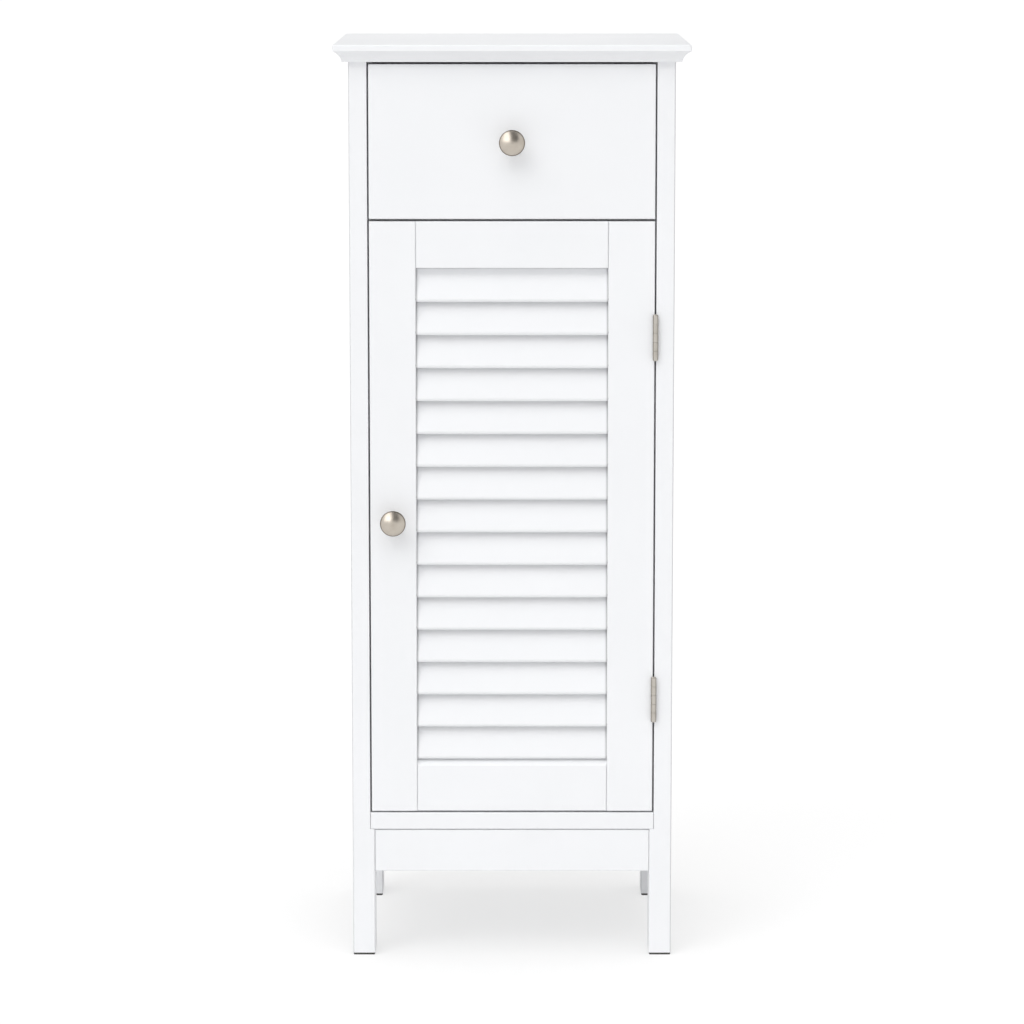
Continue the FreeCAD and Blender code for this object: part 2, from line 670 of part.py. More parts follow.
def notched_panel(front_y, z0, z1):
    """Board that fills the carcass behind front_y, notched round the four posts."""
    between_posts = block(-INNER_X, INNER_X, front_y, BACK_PANEL_FRONT_Y, z0, z1)
    between_sides = block(-SIDE_PANEL_INNER_X, SIDE_PANEL_INNER_X,
                          FRONT_POST_BACK_Y, REAR_POST_FRONT_Y, z0, z1)
    return joined([between_posts, between_sides])


def bottom_panel():
    """Its front edge fills the rebates and shows as a flush rail under the door."""
    board = notched_panel(SHOULDER_Y, APRON_TOP, BOTTOM_TOP)
    reach = REBATE_X - RAIL_END_GAP
    front_edge = block(-reach, reach, FRONT_Y, SHOULDER_Y, APRON_TOP, BOTTOM_TOP)
    board = joined([board, front_edge])
    board = board.cut(cam_recesses(BOTTOM_PANEL_FACES) + back_screws(SCREW_SLACK))
    return eased(board, FRONT_EASE, RIGHT, lambda p: near(p.y, FRONT_Y))


def divider_panel():
    """Shelf between the drawer bay and the cupboard, behind both fronts."""
    board = notched_panel(SHOULDER_Y, DIVIDER_UNDERSIDE, DIVIDER_TOP)
    return board.cut(cam_recesses(DIVIDER_FACES) + back_screws(SCREW_SLACK) + catch_screws(SCREW_SLACK))


def apron(y0):
    return block(-INNER_X, INNER_X, y0, y0 + APRON_THICKNESS, APRON_UNDERSIDE, APRON_TOP)


def apron_bores():
    bores = []
    for place in apron_dowel_places():
        bores += both_sides(rod(place, RIGHT, DOWEL_DIAMETER, DOWEL_LENGTH))
    return bores


def front_apron():
    """Its face is stepped along the top and down each end, so a fine groove shows round it."""
    face_y = FRONT_Y + APRON_SETBACK
    top_step = block(-INNER_X, INNER_X, face_y, face_y + APRON_GROOVE_DEPTH,
                     APRON_TOP - APRON_GROOVE_HEIGHT, APRON_TOP)
    end_step = block(INNER_X - SEAM_WIDTH, INNER_X, face_y, face_y + SEAM_DEPTH,
                     APRON_UNDERSIDE, APRON_TOP)
    board = apron(face_y).cut(apron_bores() + [top_step] + both_sides(end_step))
    return eased(board, FRONT_EASE, RIGHT, lambda p: near(p.y, face_y))


def rear_apron():
    return apron(REAR_Y - APRON_SETBACK - APRON_THICKNESS).cut(apron_bores())


# ---------------------------------------------------------------- adjustable shelf

def shelf_pins():
    """Each pin: a peg in the post, a collar against it and a half-round tab under the shelf."""
    pieces = []
    for y in (SHELF_PIN_FRONT_Y, SHELF_PIN_REAR_Y):
        mouth = Vector(INNER_X, y, SHELF_PIN_Z)
        peg = rod(mouth, RIGHT, 2 * SHELF_PIN_RADIUS, SHELF_PIN_DEPTH)
        collar = rod(mouth, LEFT, 2 * SHELF_PIN_COLLAR_RADIUS, SHELF_PIN_COLLAR_THICKNESS)
        tab = rod(mouth, LEFT, 2 * SHELF_PIN_TAB_RADIUS, SHELF_PIN_COLLAR_THICKNESS + SHELF_PIN_REACH)
        tab_side = SHELF_PIN_TAB_RADIUS + CUT_MARGIN
        above = block(mouth.x - 2 * SHELF_PIN_REACH, mouth.x - SHELF_PIN_COLLAR_THICKNESS,
                      y - tab_side, y + tab_side, SHELF_PIN_Z, SHELF_PIN_Z + tab_side)
        pieces += both_sides(joined([peg, collar, tab.cut(above)]))
    return pieces


def adjustable_shelf():
    reach = INNER_X - SHELF_PIN_COLLAR_THICKNESS - STOP_CLEARANCE
    board = block(-reach, reach, FRONT_Y + SHELF_FRONT_SETBACK, BACK_PANEL_FRONT_Y - SHELF_BACK_CLEARANCE,
                  SHELF_PIN_Z, SHELF_PIN_Z + SHELF_THICKNESS)
    return eased(board, FRONT_EASE, RIGHT, lambda p: near(p.y, FRONT_Y + SHELF_FRONT_SETBACK))


# ---------------------------------------------------------------- louvred door

def slat_cutter(index, growth, reach):
    """Slat number index from the top, grown all round its section, from -reach to reach in X."""
    tilt = math.radians(SLAT_TILT)
    up_slat = Vector(0, math.sin(tilt), math.cos(tilt))
    out_of_face = Vector(0, -math.cos(tilt), math.sin(tilt))
    radius = SLAT_THICKNESS / 2
    span = SLAT_WIDTH - SLAT_THICKNESS
    height = span * math.cos(tilt) + SLAT_THICKNESS
    travel = OPENING_TOP + HEAD_LAP - height - OPENING_SILL - SILL_CLEARANCE
    underside = OPENING_TOP + HEAD_LAP - height - travel * index / (SLAT_COUNT - 1)
    lower = Vector(-reach, FRONT_Y + SLAT_SETBACK + radius, underside + radius)
    upper = lower + up_slat * span
    grown = radius + growth
    lower_arc = Part.Arc(lower + out_of_face * grown, lower - up_slat * grown, lower - out_of_face * grown)
    upper_arc = Part.Arc(upper - out_of_face * grown, upper + up_slat * grown, upper + out_of_face * grown)
    outline = [
        lower_arc.toShape(),
        Part.makeLine(lower - out_of_face * grown, upper - out_of_face * grown),
        upper_arc.toShape(),
        Part.makeLine(upper + out_of_face * grown, lower + out_of_face * grown),
    ]
    return Part.Face(Part.Wire(outline)).extrude(RIGHT * (2 * reach))


def louvre_slat(index):
    return slat_cutter(index, 0.0, OPENING_X + SLAT_HOUSING_DEPTH)


def tenon(z0, z1, reach, growth):
    """Stub tenon of a rail, running through to both stiles, as a solid or as a cutter."""
    half = TENON_THICKNESS / 2 + growth
    return block(-reach, reach, TENON_MIDDLE_Y - half, TENON_MIDDLE_Y + half,
                 z0 + TENON_SHOULDER - growth, z1 - TENON_SHOULDER + growth)


def stile():
    """Right-hand stile with its mortises: slanted housings for the slats and two for the rails."""
    board = block(OPENING_X, FRONTS_X, FRONT_Y, FRONTS_BACK_Y, DOOR_UNDERSIDE, DOOR_TOP)
    board = eased(board, FRONT_EASE, UP, lambda p: near(p.x, FRONTS_X) and near(p.y, FRONT_Y))
    board = chamfered(board, STILE_CHAMFER, UP, lambda p: near(p.x, OPENING_X) and near(p.y, FRONT_Y))
    reach = OPENING_X + SLAT_HOUSING_DEPTH + SLAT_FIT
    cutters = [slat_cutter(index, SLAT_FIT, reach) for index in range(SLAT_COUNT)]
    tenon_reach = OPENING_X + TENON_LENGTH + JOINERY_FIT
    cutters.append(tenon(OPENING_TOP, DOOR_TOP, tenon_reach, JOINERY_FIT))
    cutters.append(tenon(DOOR_UNDERSIDE, OPENING_SILL, tenon_reach, JOINERY_FIT))
    return board.cut(cutters)


def door_gains():
    leaf_back = HINGE_X - LEAF_SPACING / 2 - LEAF_THICKNESS
    reach = HINGE_LENGTH / 2 + LEAF_FIT
    gains = []
    for z in HINGE_HEIGHTS.values():
        gains.append(block(leaf_back, FRONTS_X + CUT_MARGIN, FRONT_Y - CUT_MARGIN,
                           FRONT_Y + LEAF_WIDTH + LEAF_FIT, z - reach, z + reach))
    return gains


def door_right_stile():
    return stile().cut(door_gains() + hinge_screws(LEFT, SCREW_SLACK))


def door_left_stile():
    return mirrored(stile()).cut(knob_bore(-KNOB_X, DOOR_KNOB_Z, FRONTS_BACK_Y))


def rail_board(z0, z1):
    return block(-OPENING_X, OPENING_X, FRONT_Y, FRONTS_BACK_Y, z0, z1)


def rail(board, z0, z1):
    """Rail with stub tenons and a narrow step at each shoulder, which makes the joint line."""
    seam = block(OPENING_X - SEAM_WIDTH, OPENING_X + CUT_MARGIN, FRONT_Y - CUT_MARGIN,
                 FRONT_Y + SEAM_DEPTH, z0 - CUT_MARGIN, z1 + CUT_MARGIN)
    return joined([board.cut(both_sides(seam)), tenon(z0, z1, OPENING_X + TENON_LENGTH, 0.0)])


def door_top_rail():
    """The top slat's upper edge is housed in a groove along this rail."""
    board = rail_board(OPENING_TOP, DOOR_TOP)
    board = eased(board, FRONT_EASE, RIGHT, lambda p: near(p.y, FRONT_Y) and near(p.z, DOOR_TOP))
    groove = slat_cutter(0, SLAT_FIT, OPENING_X + TENON_LENGTH + CUT_MARGIN)
    return rail(board, OPENING_TOP, DOOR_TOP).cut([groove, strike_screw(SCREW_SLACK)])


def door_bottom_rail():
    """Its front top edge is chamfered down, as a sill under the lowest slat."""
    board = rail_board(DOOR_UNDERSIDE, OPENING_SILL)
    board = chamfered(board, SILL_CHAMFER, RIGHT, lambda p: near(p.y, FRONT_Y) and near(p.z, OPENING_SILL))
    board = eased(board, FRONT_EASE, RIGHT, lambda p: near(p.y, FRONT_Y) and near(p.z, DOOR_UNDERSIDE))
    return rail(board, DOOR_UNDERSIDE, OPENING_SILL)


# ---------------------------------------------------------------- hinges

def hinge_leaf(height, side, first_knuckle):
    """Leaf with every second knuckle; side is RIGHT for the post and LEFT for the door."""
    knuckle_length = (HINGE_LENGTH - KNUCKLE_GAP * (HINGE_KNUCKLES - 1)) / HINGE_KNUCKLES
    bottom = height - HINGE_LENGTH / 2
    face_a = HINGE_X + side.x * LEAF_SPACING / 2
    face_b = face_a + side.x * LEAF_THICKNESS
    x0, x1 = min(face_a, face_b), max(face_a, face_b)
    bore = PIN_RADIUS + PIN_CLEARANCE
    plate = block(x0, x1, FRONT_Y, FRONT_Y + LEAF_WIDTH, bottom, bottom + HINGE_LENGTH)
    pieces = [plate]
    for number in range(first_knuckle, HINGE_KNUCKLES, 2):
        z = bottom + number * (knuckle_length + KNUCKLE_GAP)
        pieces.append(Part.makeCylinder(KNUCKLE_RADIUS, knuckle_length, Vector(HINGE_X, HINGE_Y, z), UP))
        neck_y = HINGE_Y + (bore + KNUCKLE_RADIUS) / 2
        pieces.append(block(x0, x1, neck_y, FRONT_Y + LEAF_THICKNESS, z, z + knuckle_length))
    pin_way = rod(Vector(HINGE_X, HINGE_Y, bottom - CUT_MARGIN), UP, 2 * bore, HINGE_LENGTH + 2 * CUT_MARGIN)
    screws = hinge_screws(side, SCREW_SLACK)
    return joined(pieces).cut([pin_way] + screws)


def dome(centre, outward, across, base_radius, base_height, top_height):
    """Arc of a sphere centred on the axis, from the rim of its base to its crown."""
    middle = (top_height ** 2 - base_radius ** 2 - base_height ** 2) / (2 * (top_height - base_height))
    radius = top_height - middle
    half_angle = math.atan2(base_radius, base_height - middle) / 2
    rim = centre + across * base_radius + outward * base_height
    flank_height = middle + radius * math.cos(half_angle)
    flank = centre + across * radius * math.sin(half_angle) + outward * flank_height
    crown = centre + outward * top_height
    return Part.Arc(rim, flank, crown).toShape()


def hinge_pin(height):
    """Pin with a domed cap at each end."""
    centre = Vector(HINGE_X, HINGE_Y, height)
    half = HINGE_LENGTH / 2
    crown = half + PIN_CAP_HEIGHT
    rim = half + PIN_CAP_RIM

    def point(r, z):
        return centre + RIGHT * r + UP * z

    outline = [
        dome(centre, DOWN, RIGHT, PIN_CAP_RADIUS, rim, crown),
        Part.makeLine(point(PIN_CAP_RADIUS, -rim), point(PIN_CAP_RADIUS, -half)),
        Part.makeLine(point(PIN_CAP_RADIUS, -half), point(PIN_RADIUS, -half)),
        Part.makeLine(point(PIN_RADIUS, -half), point(PIN_RADIUS, half)),
        Part.makeLine(point(PIN_RADIUS, half), point(PIN_CAP_RADIUS, half)),
        Part.makeLine(point(PIN_CAP_RADIUS, half), point(PIN_CAP_RADIUS, rim)),
        dome(centre, UP, RIGHT, PIN_CAP_RADIUS, rim, crown),
        Part.makeLine(point(0, crown), point(0, -crown)),
    ]
    profile = Part.Face(Part.Wire(Part.sortEdges(outline)[0]))
    return profile.revolve(centre, UP, 360)


def hinge_pins():
    return [hinge_pin(height) for height in HINGE_HEIGHTS.values()]


# ---------------------------------------------------------------- knobs

def knob(x, z):
    """Turned mushroom knob on a front face: flange, waisted neck, rolled rim, domed head."""
    centre = Vector(x, FRONT_Y, z)
    flange = KNOB_FLANGE_DIAMETER / 2
    neck = KNOB_NECK_DIAMETER / 2
    throat = KNOB_THROAT_DIAMETER / 2
    head = KNOB_DIAMETER / 2
    lip = head - KNOB_RIM_ROLL
    waist = neck + (flange - neck) * KNOB_WAIST_SHARE
    waist_height = KNOB_FLANGE_HEIGHT + (KNOB_NECK_FOOT - KNOB_FLANGE_HEIGHT) * KNOB_WAIST_SHARE
    rim_middle = (KNOB_RIM_BOTTOM + KNOB_RIM_TOP) / 2

    def point(r, out):
        return centre + RIGHT * r + FRONT * out

    def arc(start, middle, end):
        return Part.Arc(point(*start), point(*middle), point(*end)).toShape()

    outline = [
        Part.makeLine(point(0, 0), point(flange, 0)),
        Part.makeLine(point(flange, 0), point(flange, KNOB_FLANGE_HEIGHT)),
        arc((flange, KNOB_FLANGE_HEIGHT), (waist, waist_height), (neck, KNOB_NECK_FOOT)),
        Part.makeLine(point(neck, KNOB_NECK_FOOT), point(neck, KNOB_NECK_TOP)),
        arc((neck, KNOB_NECK_TOP), (throat, KNOB_THROAT_TOP), (lip, KNOB_RIM_BOTTOM)),
        arc((lip, KNOB_RIM_BOTTOM), (head, rim_middle), (lip, KNOB_RIM_TOP)),
        dome(centre, FRONT, RIGHT, lip, KNOB_RIM_TOP, KNOB_PROJECTION),
        Part.makeLine(point(0, KNOB_PROJECTION), point(0, 0)),
    ]
    solid = Part.Face(Part.Wire(outline)).revolve(centre, BACK, 360)
    thread_start = centre + BACK * CUT_MARGIN
    return solid.cut(rod(thread_start, FRONT, KNOB_SCREW_DIAMETER, KNOB_THREAD_DEPTH + CUT_MARGIN))


# ---------------------------------------------------------------- magnetic catch

def catch_pocket(growth):
    """Room for the magnet in the front of the catch housing, or the magnet itself."""
    half = CATCH_MAGNET_LENGTH / 2 + growth
    tall = CATCH_MAGNET_HEIGHT / 2 + growth
    return block(CATCH_X - half, CATCH_X + half, CATCH_FRONT_Y - CATCH_MAGNET_PROUD,
                 CATCH_FRONT_Y - CATCH_MAGNET_PROUD + CATCH_MAGNET_DEPTH + growth,
                 CATCH_MIDDLE_Z - tall, CATCH_MIDDLE_Z + tall)


def catch_housing():
    half_flange = CATCH_FLANGE_LENGTH / 2
    half_body = CATCH_BODY_LENGTH / 2
    y0, y1 = CATCH_FRONT_Y, CATCH_FRONT_Y + CATCH_BODY_DEPTH
    flange = block(CATCH_X - half_flange, CATCH_X + half_flange, y0, y1,
                   DIVIDER_UNDERSIDE - CATCH_FLANGE_THICKNESS, DIVIDER_UNDERSIDE)
    body = block(CATCH_X - half_body, CATCH_X + half_body, y0, y1,
                 DIVIDER_UNDERSIDE - CATCH_BODY_HEIGHT, DIVIDER_UNDERSIDE)
    body = eased(body, FRONT_EASE, BACK, lambda p: p.z < DIVIDER_UNDERSIDE - CATCH_FLANGE_THICKNESS)
    return joined([flange, body]).cut([catch_pocket(JOINERY_FIT)] + catch_screws(SCREW_SLACK))


def catch_magnet():
    return catch_pocket(0.0)


def catch_strike_plate():
    half = STRIKE_LENGTH / 2
    tall = STRIKE_HEIGHT / 2
    plate = block(CATCH_X - half, CATCH_X + half, FRONTS_BACK_Y, FRONTS_BACK_Y + STRIKE_THICKNESS,
                  CATCH_MIDDLE_Z - tall, CATCH_MIDDLE_Z + tall)
    plate = eased(plate, STRIKE_CORNER, BACK, lambda p: True)
    return plate.cut(strike_screw(SCREW_SLACK))


# ---------------------------------------------------------------- drawer

def drawer_front():
    board = block(-FRONTS_X, FRONTS_X, FRONT_Y, FRONTS_BACK_Y, DRAWER_FRONT_UNDERSIDE, DRAWER_FRONT_TOP)
    board = eased(board, FRONT_EASE, UP, lambda p: near(p.y, FRONT_Y))
    board = eased(board, FRONT_EASE, RIGHT, lambda p: near(p.y, FRONT_Y))
    return board.cut([knob_bore(0, DRAWER_KNOB_Z, FRONTS_BACK_Y)] + box_screws(SCREW_SLACK))


def drawer_right_side():
    """Side with the stopped groove that runs on the runner, and the bottom's groove inside."""
    board = block(BOX_INNER_X, BOX_OUTER_X, FRONTS_BACK_Y, BOX_BACK_Y, BOX_UNDERSIDE, BOX_TOP)
    board = eased(board, DRAWER_BOX_EASE, BACK, lambda p: near(p.z, BOX_TOP))
    runner_groove = block(BOX_OUTER_X - RUNNER_GROOVE_DEPTH, BOX_OUTER_X + CUT_MARGIN,
                          RUNNER_FRONT_Y - RUNNER_SLIDE_CLEARANCE, BOX_BACK_Y + CUT_MARGIN,
                          RUNNER_UNDERSIDE - RUNNER_SLIDE_CLEARANCE,
                          RUNNER_UNDERSIDE + RUNNER_HEIGHT + RUNNER_SLIDE_CLEARANCE)
    return board.cut([runner_groove, drawer_bottom_groove()])


def drawer_left_side():
    return mirrored(drawer_right_side())


def drawer_bottom_groove():
    reach = BOX_INNER_X + DRAWER_BOTTOM_TONGUE + JOINERY_FIT
    return block(-reach, reach, FRONTS_BACK_Y + DRAWER_SIDE_THICKNESS - DRAWER_BOTTOM_TONGUE - JOINERY_FIT,
                 BOX_BACK_Y + CUT_MARGIN, BOX_BOTTOM_Z - JOINERY_FIT,
                 BOX_BOTTOM_Z + DRAWER_BOTTOM_THICKNESS + JOINERY_FIT)


def drawer_inner_front():
    board = block(-BOX_INNER_X, BOX_INNER_X, FRONTS_BACK_Y, FRONTS_BACK_Y + DRAWER_SIDE_THICKNESS,
                  BOX_UNDERSIDE, BOX_TOP)
    seat_y = FRONTS_BACK_Y + DRAWER_SIDE_THICKNESS
    return board.cut([drawer_bottom_groove(), knob_bore(0, DRAWER_KNOB_Z, seat_y)] + box_screws(SCREW_SLACK))


def drawer_back():
    """The back stands on the bottom, which slides in under it."""
    return block(-BOX_INNER_X, BOX_INNER_X, BOX_BACK_Y - DRAWER_SIDE_THICKNESS, BOX_BACK_Y,
                 BOX_BOTTOM_Z + DRAWER_BOTTOM_THICKNESS, BOX_TOP)


def drawer_bottom():
    reach = BOX_INNER_X + DRAWER_BOTTOM_TONGUE
    return block(-reach, reach, FRONTS_BACK_Y + DRAWER_SIDE_THICKNESS - DRAWER_BOTTOM_TONGUE, BOX_BACK_Y,
                 BOX_BOTTOM_Z, BOX_BOTTOM_Z + DRAWER_BOTTOM_THICKNESS)


def right_drawer_runner():
    """Hardwood strip screwed to the posts; the drawer side's groove runs on it."""
    strip = block(INNER_X - RUNNER_WIDTH, INNER_X, RUNNER_FRONT_Y, BACK_PANEL_FRONT_Y,
                  RUNNER_UNDERSIDE, RUNNER_UNDERSIDE + RUNNER_HEIGHT)
    return strip.cut(runner_screws(SCREW_SLACK))


def left_drawer_runner():
    return mirrored(right_drawer_runner())


# ---------------------------------------------------------------- nodes

def door_screws():
    screws = hinge_screws(LEFT) + [strike_screw()]
    return screws + [knob_screw(-KNOB_X, DOOR_KNOB_Z, FRONTS_BACK_Y)]


def drawer_screws():
    seat_y = FRONTS_BACK_Y + DRAWER_SIDE_THICKNESS
    return box_screws() + [knob_screw(0, DRAWER_KNOB_Z, seat_y)]


def fixing_screws():
    return runner_screws() + catch_screws() + back_screws()


def hinge_leaves():
    leaves = {}
    for name, height in HINGE_HEIGHTS.items():
        leaves[name + "_hinge_frame_leaf"] = hinge_leaf(height, RIGHT, 0)
        leaves[name + "_hinge_door_leaf"] = hinge_leaf(height, LEFT, 1)
    return leaves


def louvre_slats():
    slats = {}
    for index in range(SLAT_COUNT):
        slats["louvre_slat_%02d" % (index + 1)] = louvre_slat(index)
    return slats


def cabinet_nodes():
    nodes = {
        "top_panel": top_panel(),
        "front_left_post": front_left_post(),
        "front_right_post": front_right_post(),
        "rear_left_post": rear_left_post(),
        "rear_right_post": rear_right_post(),
        "left_side_panel": left_side_panel(),
        "right_side_panel": right_side_panel(),
        "back_panel": back_panel(),
        "bottom_panel": bottom_panel(),
        "divider_panel": divider_panel(),
        "front_apron": front_apron(),
        "rear_apron": rear_apron(),
        "adjustable_shelf": adjustable_shelf(),
        "shelf_pins": shelf_pins(),
        "foot_glides": foot_glides(),
        "dowels": dowels(),
        "cam_bolts": cam_bolts(),
        "cam_nuts": cam_nuts(),
        "fixing_screws": fixing_screws(),
        "hinge_frame_screws": hinge_screws(RIGHT),
        "hinge_pins": hinge_pins(),
        "catch_housing": catch_housing(),
        "catch_magnet": catch_magnet(),
        "left_drawer_runner": left_drawer_runner(),
        "right_drawer_runner": right_drawer_runner(),
        "door_left_stile": door_left_stile(),
        "door_right_stile": door_right_stile(),
        "door_top_rail": door_top_rail(),
        "door_bottom_rail": door_bottom_rail(),
        "door_knob": knob(-KNOB_X, DOOR_KNOB_Z),
        "door_screws": door_screws(),
        "catch_strike_plate": catch_strike_plate(),
        "drawer_front": drawer_front(),
        "drawer_inner_front": drawer_inner_front(),
        "drawer_left_side": drawer_left_side(),
        "drawer_right_side": drawer_right_side(),
        "drawer_back": drawer_back(),
        "drawer_bottom": drawer_bottom(),
        "drawer_knob": knob(0, DRAWER_KNOB_Z),
        "drawer_screws": drawer_screws(),
    }
    nodes.update(hinge_leaves())
    nodes.update(louvre_slats())
    return nodes


def export_nodes():
    os.makedirs("parts", exist_ok=True)
    for name, shape in cabinet_nodes().items():
        if isinstance(shape, list):
            shape = Part.makeCompound(shape)
        shape.exportStep("parts/%s.step" % name)
        print("%-28s solids %2d  valid %s" % (name, len(shape.Solids), shape.isValid()))


export_nodes()
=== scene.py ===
import math

import bmesh
import bpy
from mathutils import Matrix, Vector


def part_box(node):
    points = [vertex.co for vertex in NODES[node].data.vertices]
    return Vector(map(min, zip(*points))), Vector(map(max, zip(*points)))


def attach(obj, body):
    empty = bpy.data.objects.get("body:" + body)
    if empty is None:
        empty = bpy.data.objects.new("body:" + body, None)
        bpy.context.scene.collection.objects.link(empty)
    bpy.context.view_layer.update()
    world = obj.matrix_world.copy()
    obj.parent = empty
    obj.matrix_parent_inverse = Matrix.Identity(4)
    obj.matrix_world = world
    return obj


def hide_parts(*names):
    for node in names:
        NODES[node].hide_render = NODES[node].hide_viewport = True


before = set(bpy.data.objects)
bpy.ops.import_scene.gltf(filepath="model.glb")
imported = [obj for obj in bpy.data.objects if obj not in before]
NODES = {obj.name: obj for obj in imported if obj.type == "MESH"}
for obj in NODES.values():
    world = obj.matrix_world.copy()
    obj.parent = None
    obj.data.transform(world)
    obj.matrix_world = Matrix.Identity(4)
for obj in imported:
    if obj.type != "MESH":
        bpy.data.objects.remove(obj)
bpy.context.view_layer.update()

# Louvred door cabinet, white paint with satin nickel knobs and hinges. Metres, +Z up,
# front towards -Y, floor at Z = 0. Every shape comes from the frame; this script gives
# the finishes, the cut heads and threads of the screws, and the studio.

MM = 0.001

# ---------------------------------------------------------------- camera and studio

# The photograph's camera was level, with a large shift. A small tilt and a small shift stand
# in for that, because the other views keep the shift. The distance is from the front posts.
FRONT_PLANE_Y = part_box("front_left_post")[0].y
CAMERA_DISTANCE = 3.640
CAMERA_HEIGHT = 1.000
CAMERA_PITCH = math.radians(8.52)
CAMERA_LENS = 138.4
CAMERA_SENSOR = 36.0
CAMERA_SHIFT_Y = -0.029
CAMERA_CLIP = (0.1, 200.0)

# To the eye the floor is a glow added to a lit grey paper, whose light draws the real shadow. Near
# the
#  cabinet FLOOR_GLOW_LOST of the glow goes as painted shade, in full where only FLOOR_SHADE_FULL
#  of the space within FLOOR_SHADE_REACH is open. Surfaces get light back from it as from pale
#  paper.
FLOOR_HALF_SIZE = 60.0
FLOOR_GLOW = 0.76
FLOOR_GLOW_LOST = 0.11
FLOOR_SHADE_REACH = 0.26
FLOOR_SHADE_FULL = 0.45
FLOOR_COLOUR = 0.30
FLOOR_FLECK = 0.995
FLOOR_FLECK_WAVES = 600.0
FLOOR_BOUNCE = 0.95

SKY_DIFFUSE = 0.597
SKY_SEEN = 1.0

# Wide soft lights from far off: name, degrees up, degrees left of the front, degrees across,
# and the share of full white that each one alone gives a white face turned to it.
SOFT_LIGHTS = [
    ("key_light", 58.0, 8.0, 50.0, 0.28),
    ("left_light", 40.0, 42.0, 30.0, 0.16),
    ("front_light", 10.0, 4.0, 40.0, 0.045)]

# Painted reflections: sheets that only gloss shows and that light nothing. A dark strip stands for
# the
#  ceiling, a glowing sheet for the bright face of a light bank beside it, and a grey flag on each
#  side.
#  Each has its name, its glow and its rows, and a row is degrees up, then its left and right ends
#  in degrees right.
REFLECTED_CENTRE = Vector((0.0, 0.0, 0.6))
REFLECTED_DISTANCE = 2.6
REFLECTED_SHEETS = [
    ("dark_strip", 0.20, [
        (10.0, 4.0, 36.0), (24.0, -8.0, 50.0), (38.0, -13.0, 56.0),
        (54.0, -20.0, 62.0), (68.0, -42.0, 82.0), (80.0, -76.0, 98.0)]),
    ("painted_light_bank", 2.7, [
        (10.0, -64.0, -20.0), (26.0, -72.0, -14.0), (42.0, -80.0, -16.0),
        (56.0, -88.0, -24.0), (70.0, -104.0, -50.0)]),
    ("right_flag", 0.25, [(-20.0, 92.0, 172.0), (10.0, 92.0, 172.0), (45.0, 92.0, 172.0)]),
    ("left_flag", 0.45, [(-20.0, -172.0, -100.0), (10.0, -172.0, -100.0), (45.0, -172.0, -100.0)])]


# ---------------------------------------------------------------- node trees

def srgb(red, green, blue):
    """Linear colour from display values of 0 to 255."""
    linear = []
    for value in (red, green, blue):
        share = value / 255
        linear.append(share / 12.92 if share <= 0.04045 else ((share + 0.055) / 1.055) ** 2.4)
    return (*linear, 1.0)


def grey(level):
    """Linear colour with one level for red, green and blue."""
    return (level, level, level, 1.0)


def along(axis, stretch):
    """Scale that draws a texture out along one axis."""
    return tuple(1.0 / stretch if name == axis else 1.0 for name in "XYZ")


# Spans of a noise texture's values that are drawn out to 0 and 1: one for clear patches, and
# a wider one for an even spread. In the finishes below, a name with ROUGHNESS holds what such
# a span is carried to, and one with RELIEF the strength and the depth of a bump.
PATCHES = (0.35, 0.7)
SPREAD = (0.3, 0.7)

# Cosine of the turn between the solid's normal and its rounded one, where an edge starts to
# count and where it counts in full.
EDGE_TURN = (0.999, 0.8)
BEVEL_SAMPLES = 6


